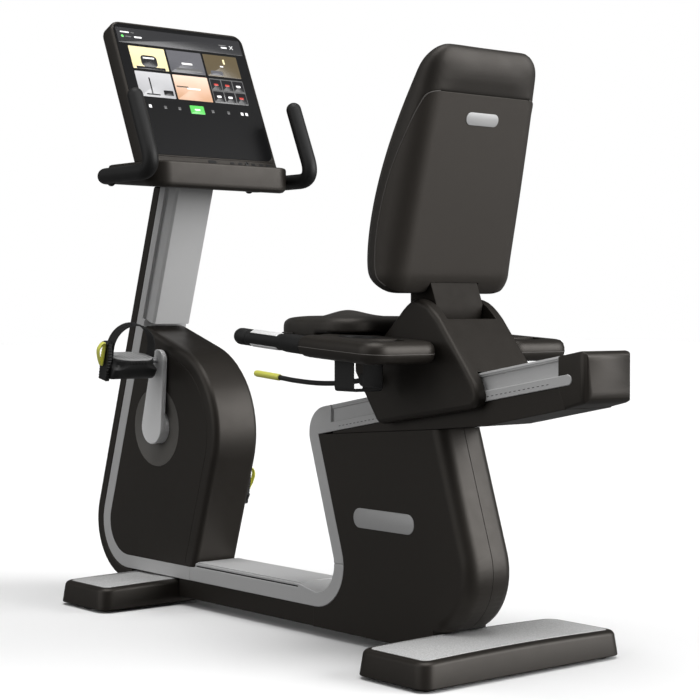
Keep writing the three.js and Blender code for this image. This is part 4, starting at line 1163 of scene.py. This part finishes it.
def build_armrests():
    for side, sign in SIDES:
        node = "armrest_" + side
        piece = dress(node, 0.0012, 50.0)
        # the seam line's lighter grey is a painted highlight along the armrest's parting line
        detail(waist_line("armrest_seam_" + side, piece, 0.45, ARMREST_SLOPE), node, WELT_AND_SEAM_HIGHLIGHT)
        cup = ring_wall("cup_liner_" + side, sign * 0.190, 0.0418, 0.0388, 0.6275, 0.6735)
        detail(cup, node, LOOKS["rubber"], "rubber")
        build_grip(side, sign)
        dress("bottle_bracket_" + side, 0.0008)


def waist_line(name, piece, share, slope):
    """A fine line around the outside of a part, at a share of its height and falling rearwards by a slope."""
    work = bmesh.new()
    work.from_mesh(piece.data)
    heights = [v.co.z + slope * v.co.x for v in work.verts]
    level = min(heights) + share * (max(heights) - min(heights))
    everything = work.verts[:] + work.edges[:] + work.faces[:]
    bmesh.ops.bisect_plane(work, geom=everything, plane_co=(0, 0, level),
                           plane_no=Vector((slope, 0, 1)).normalized(), clear_outer=True, clear_inner=True)
    loops = []
    waiting = dict.fromkeys(work.verts)  # a dict, because it keeps the same order on every run
    while waiting:
        step = next(iter(waiting))
        loop = []
        while step:
            del waiting[step]
            loop.append(step.co.copy())
            near = [edge.other_vert(step) for edge in step.link_edges]
            step = next((v for v in near if v in waiting), None)
        loops.append(loop)
    work.free()
    outside = max(loops, key=lambda loop: max(p.x for p in loop) - min(p.x for p in loop))
    return sweep(name, outside + outside[:1], circle(0.0007, 8), (0, 0, 1))


def ring_wall(name, centre_y, outer, inner, z_low, z_high, sides=48):
    """The cup holder's liner, with a lip on top; it falls rearwards as the armrest does."""
    centre_x = 0.352
    lip = 0.0012
    profile = [(inner, z_low), (outer, z_low), (outer, z_high), (outer + 0.002, z_high + lip),
               (inner + 0.0008, z_high + lip), (inner, z_high)]
    rings = [[Vector((centre_x + u, centre_y + v, z - ARMREST_SLOPE * u)) for u, v in circle(radius, sides)]
             for radius, z in profile]
    return rings_mesh(name, rings, 40.0, closed_path=True)


def build_grip(side, sign):
    """The side grip: a stepped sleeve with a groove behind its two bright pulse plates."""
    tilt = math.atan(0.075)
    origin = Vector((0.264, sign * 0.260, 0.6565))
    forward = Vector((-math.cos(tilt), 0, math.sin(tilt)))
    length = 0.234
    profile = [(0, 0), (0.0195, 0), (0.0195, 0.056), (0.0190, 0.060), (0.0172, 0.076), (0.0170, 0.080),
               (0.0170, 0.176), (0.0173, 0.180), (0.0180, 0.186), (0.0180, 0.190), (0.0173, 0.1915),
               (0.0180, 0.193), (0.0182, length - 0.018), (0.0176, length - 0.010), (0.0150, length - 0.004),
               (0.010, length - 0.001), (0, length)]
    stand_for(turned("grip_sleeve_" + side, profile, origin, forward, 40, 30.0), "hand_grip_" + side)
    across = Vector((0, 1, 0))
    up = Vector((math.sin(tilt), 0, math.cos(tilt)))
    half = math.radians(48)
    angles = [-half + 2 * half * k / 14 for k in range(15)]
    sections = [(0.082, 0.0175), (0.083, 0.0184), (0.0845, 0.0187), (0.1715, 0.0187), (0.173, 0.0184),
                (0.174, 0.0175)]
    underside = 0.0171
    for place, turn in (("top", 0.0), ("bottom", math.pi)):
        spokes = [up * math.cos(angle + turn) + across * math.sin(angle + turn) for angle in angles]
        rings = []
        for distance, radius in sections:
            centre = origin + forward * distance
            outside = [centre + spoke * radius for spoke in spokes]
            rings.append(outside + [centre + spoke * underside for spoke in reversed(spokes)])
        plate = rings_mesh("pulse_plate_%s_%s" % (place, side), rings, 35.0)
        if place == "top":
            stand_for(plate, "pulse_plate_" + side)
        else:
            detail(plate, "pulse_plate_" + side, LOOKS["cast_silver"])


def build_lever():
    """The seat release: a bent rod with a yellow sleeve."""
    points = [(0.296, -0.125, 0.583), (0.220, -0.125, 0.574), (0.140, -0.125, 0.571), (0.060, -0.125, 0.574),
              (0.003, -0.125, 0.579)]
    rod = sweep("lever_rod", smooth_curve(points, 10), circle(0.0055, 24), (0, 1, 0))
    stand_for(rod, "seat_lever")
    profile = [(0, 0), (0.013, 0), (0.014, 0.001), (0.014, 0.0365), (0.012, 0.0375), (0, 0.0375)]
    hub = turned("lever_hub", profile, (0.296, -0.0953, 0.583), (0, -1, 0), 36)
    detail(hub, "seat_lever", LOOKS["black_plastic"])
    tilt = math.radians(4.5)
    length = 0.091
    profile = [(0, 0), (0.0065, 0), (0.0072, 0.001), (0.0075, 0.004), (0.0075, length - 0.006),
               (0.0065, length - 0.002), (0.004, length - 0.0005), (0, length)]
    forward = (-math.cos(tilt), 0, math.sin(tilt))
    sleeve = turned("lever_sleeve", profile, (0.0022, -0.125, 0.5793), forward, 32)
    stand_for(sleeve, "lever_grip")


# ---------------------------------------------------------------- studio

def floor_paint():
    """White to the camera; darker for bounced light, so that the sides of the bike keep their depth."""
    material, tree, shader = new_material("floor", (0.9, 0.9, 0.9), 0.9, specular=0.0)
    path = tree.nodes.new("ShaderNodeLightPath")
    color = mix_colors(tree, path.outputs["Is Camera Ray"], (0.15, 0.15, 0.15), (0.9, 0.9, 0.9))
    tree.links.new(color, shader.inputs["Base Color"])
    return material


def build_studio():
    camera_data = bpy.data.cameras.new("camera")
    camera_data.lens = 89.5
    camera_data.sensor_width = 36.0
    camera_data.clip_end = 100.0
    camera = bpy.data.objects.new("camera", camera_data)
    camera.location = (3.0794, -2.484, 0.727)
    camera.rotation_euler = (math.radians(88.72), 0, math.radians(50.22))
    scene.collection.objects.link(camera)
    scene.camera = camera

    floor = make("floor", [(-30, -30, 0), (30, -30, 0), (30, 30, 0), (-30, 30, 0)], [(0, 1, 2, 3)])
    floor.data.materials.append(floor_paint())

    world = bpy.data.worlds.new("studio")
    world.use_nodes = True
    scene.world = world
    tree = world.node_tree
    background = tree.nodes["Background"]
    seen = tree.nodes.new("ShaderNodeBackground")
    seen.inputs["Color"].default_value = (1, 1, 1, 1)
    seen.inputs["Strength"].default_value = 1.0
    background.inputs["Color"].default_value = (1, 1, 1, 1)
    background.inputs["Strength"].default_value = 0.07
    path = tree.nodes.new("ShaderNodeLightPath")
    mix = tree.nodes.new("ShaderNodeMixShader")
    tree.links.new(path.outputs["Is Camera Ray"], mix.inputs["Fac"])
    tree.links.new(background.outputs["Background"], mix.inputs[1])
    tree.links.new(seen.outputs["Background"], mix.inputs[2])
    tree.links.new(mix.outputs["Shader"], tree.nodes["World Output"].inputs["Surface"])

    suns = (("key", (0.80, 0.58, 0.24), 3.8, 55),
            ("top", (0.1, -0.1, 1.0), 2.3, 50),
            ("side", (-0.30, -1.0, 0.40), 0.9, 60))
    for name, source, strength, spread_angle in suns:
        light_data = bpy.data.lights.new(name, "SUN")
        light_data.energy = strength
        light_data.angle = math.radians(spread_angle)
        light = bpy.data.objects.new(name, light_data)
        light.rotation_euler = Vector(source).to_track_quat("Z", "Y").to_euler()
        scene.collection.objects.link(light)
    scene.view_settings.view_transform = "Standard"
    scene.view_settings.look = "None"


build_frame()
build_shrouds()
build_drive()
build_pedals()
build_console()
build_carriage()
build_backrest()
build_seat_cushion()
build_armrests()
build_lever()
build_studio()
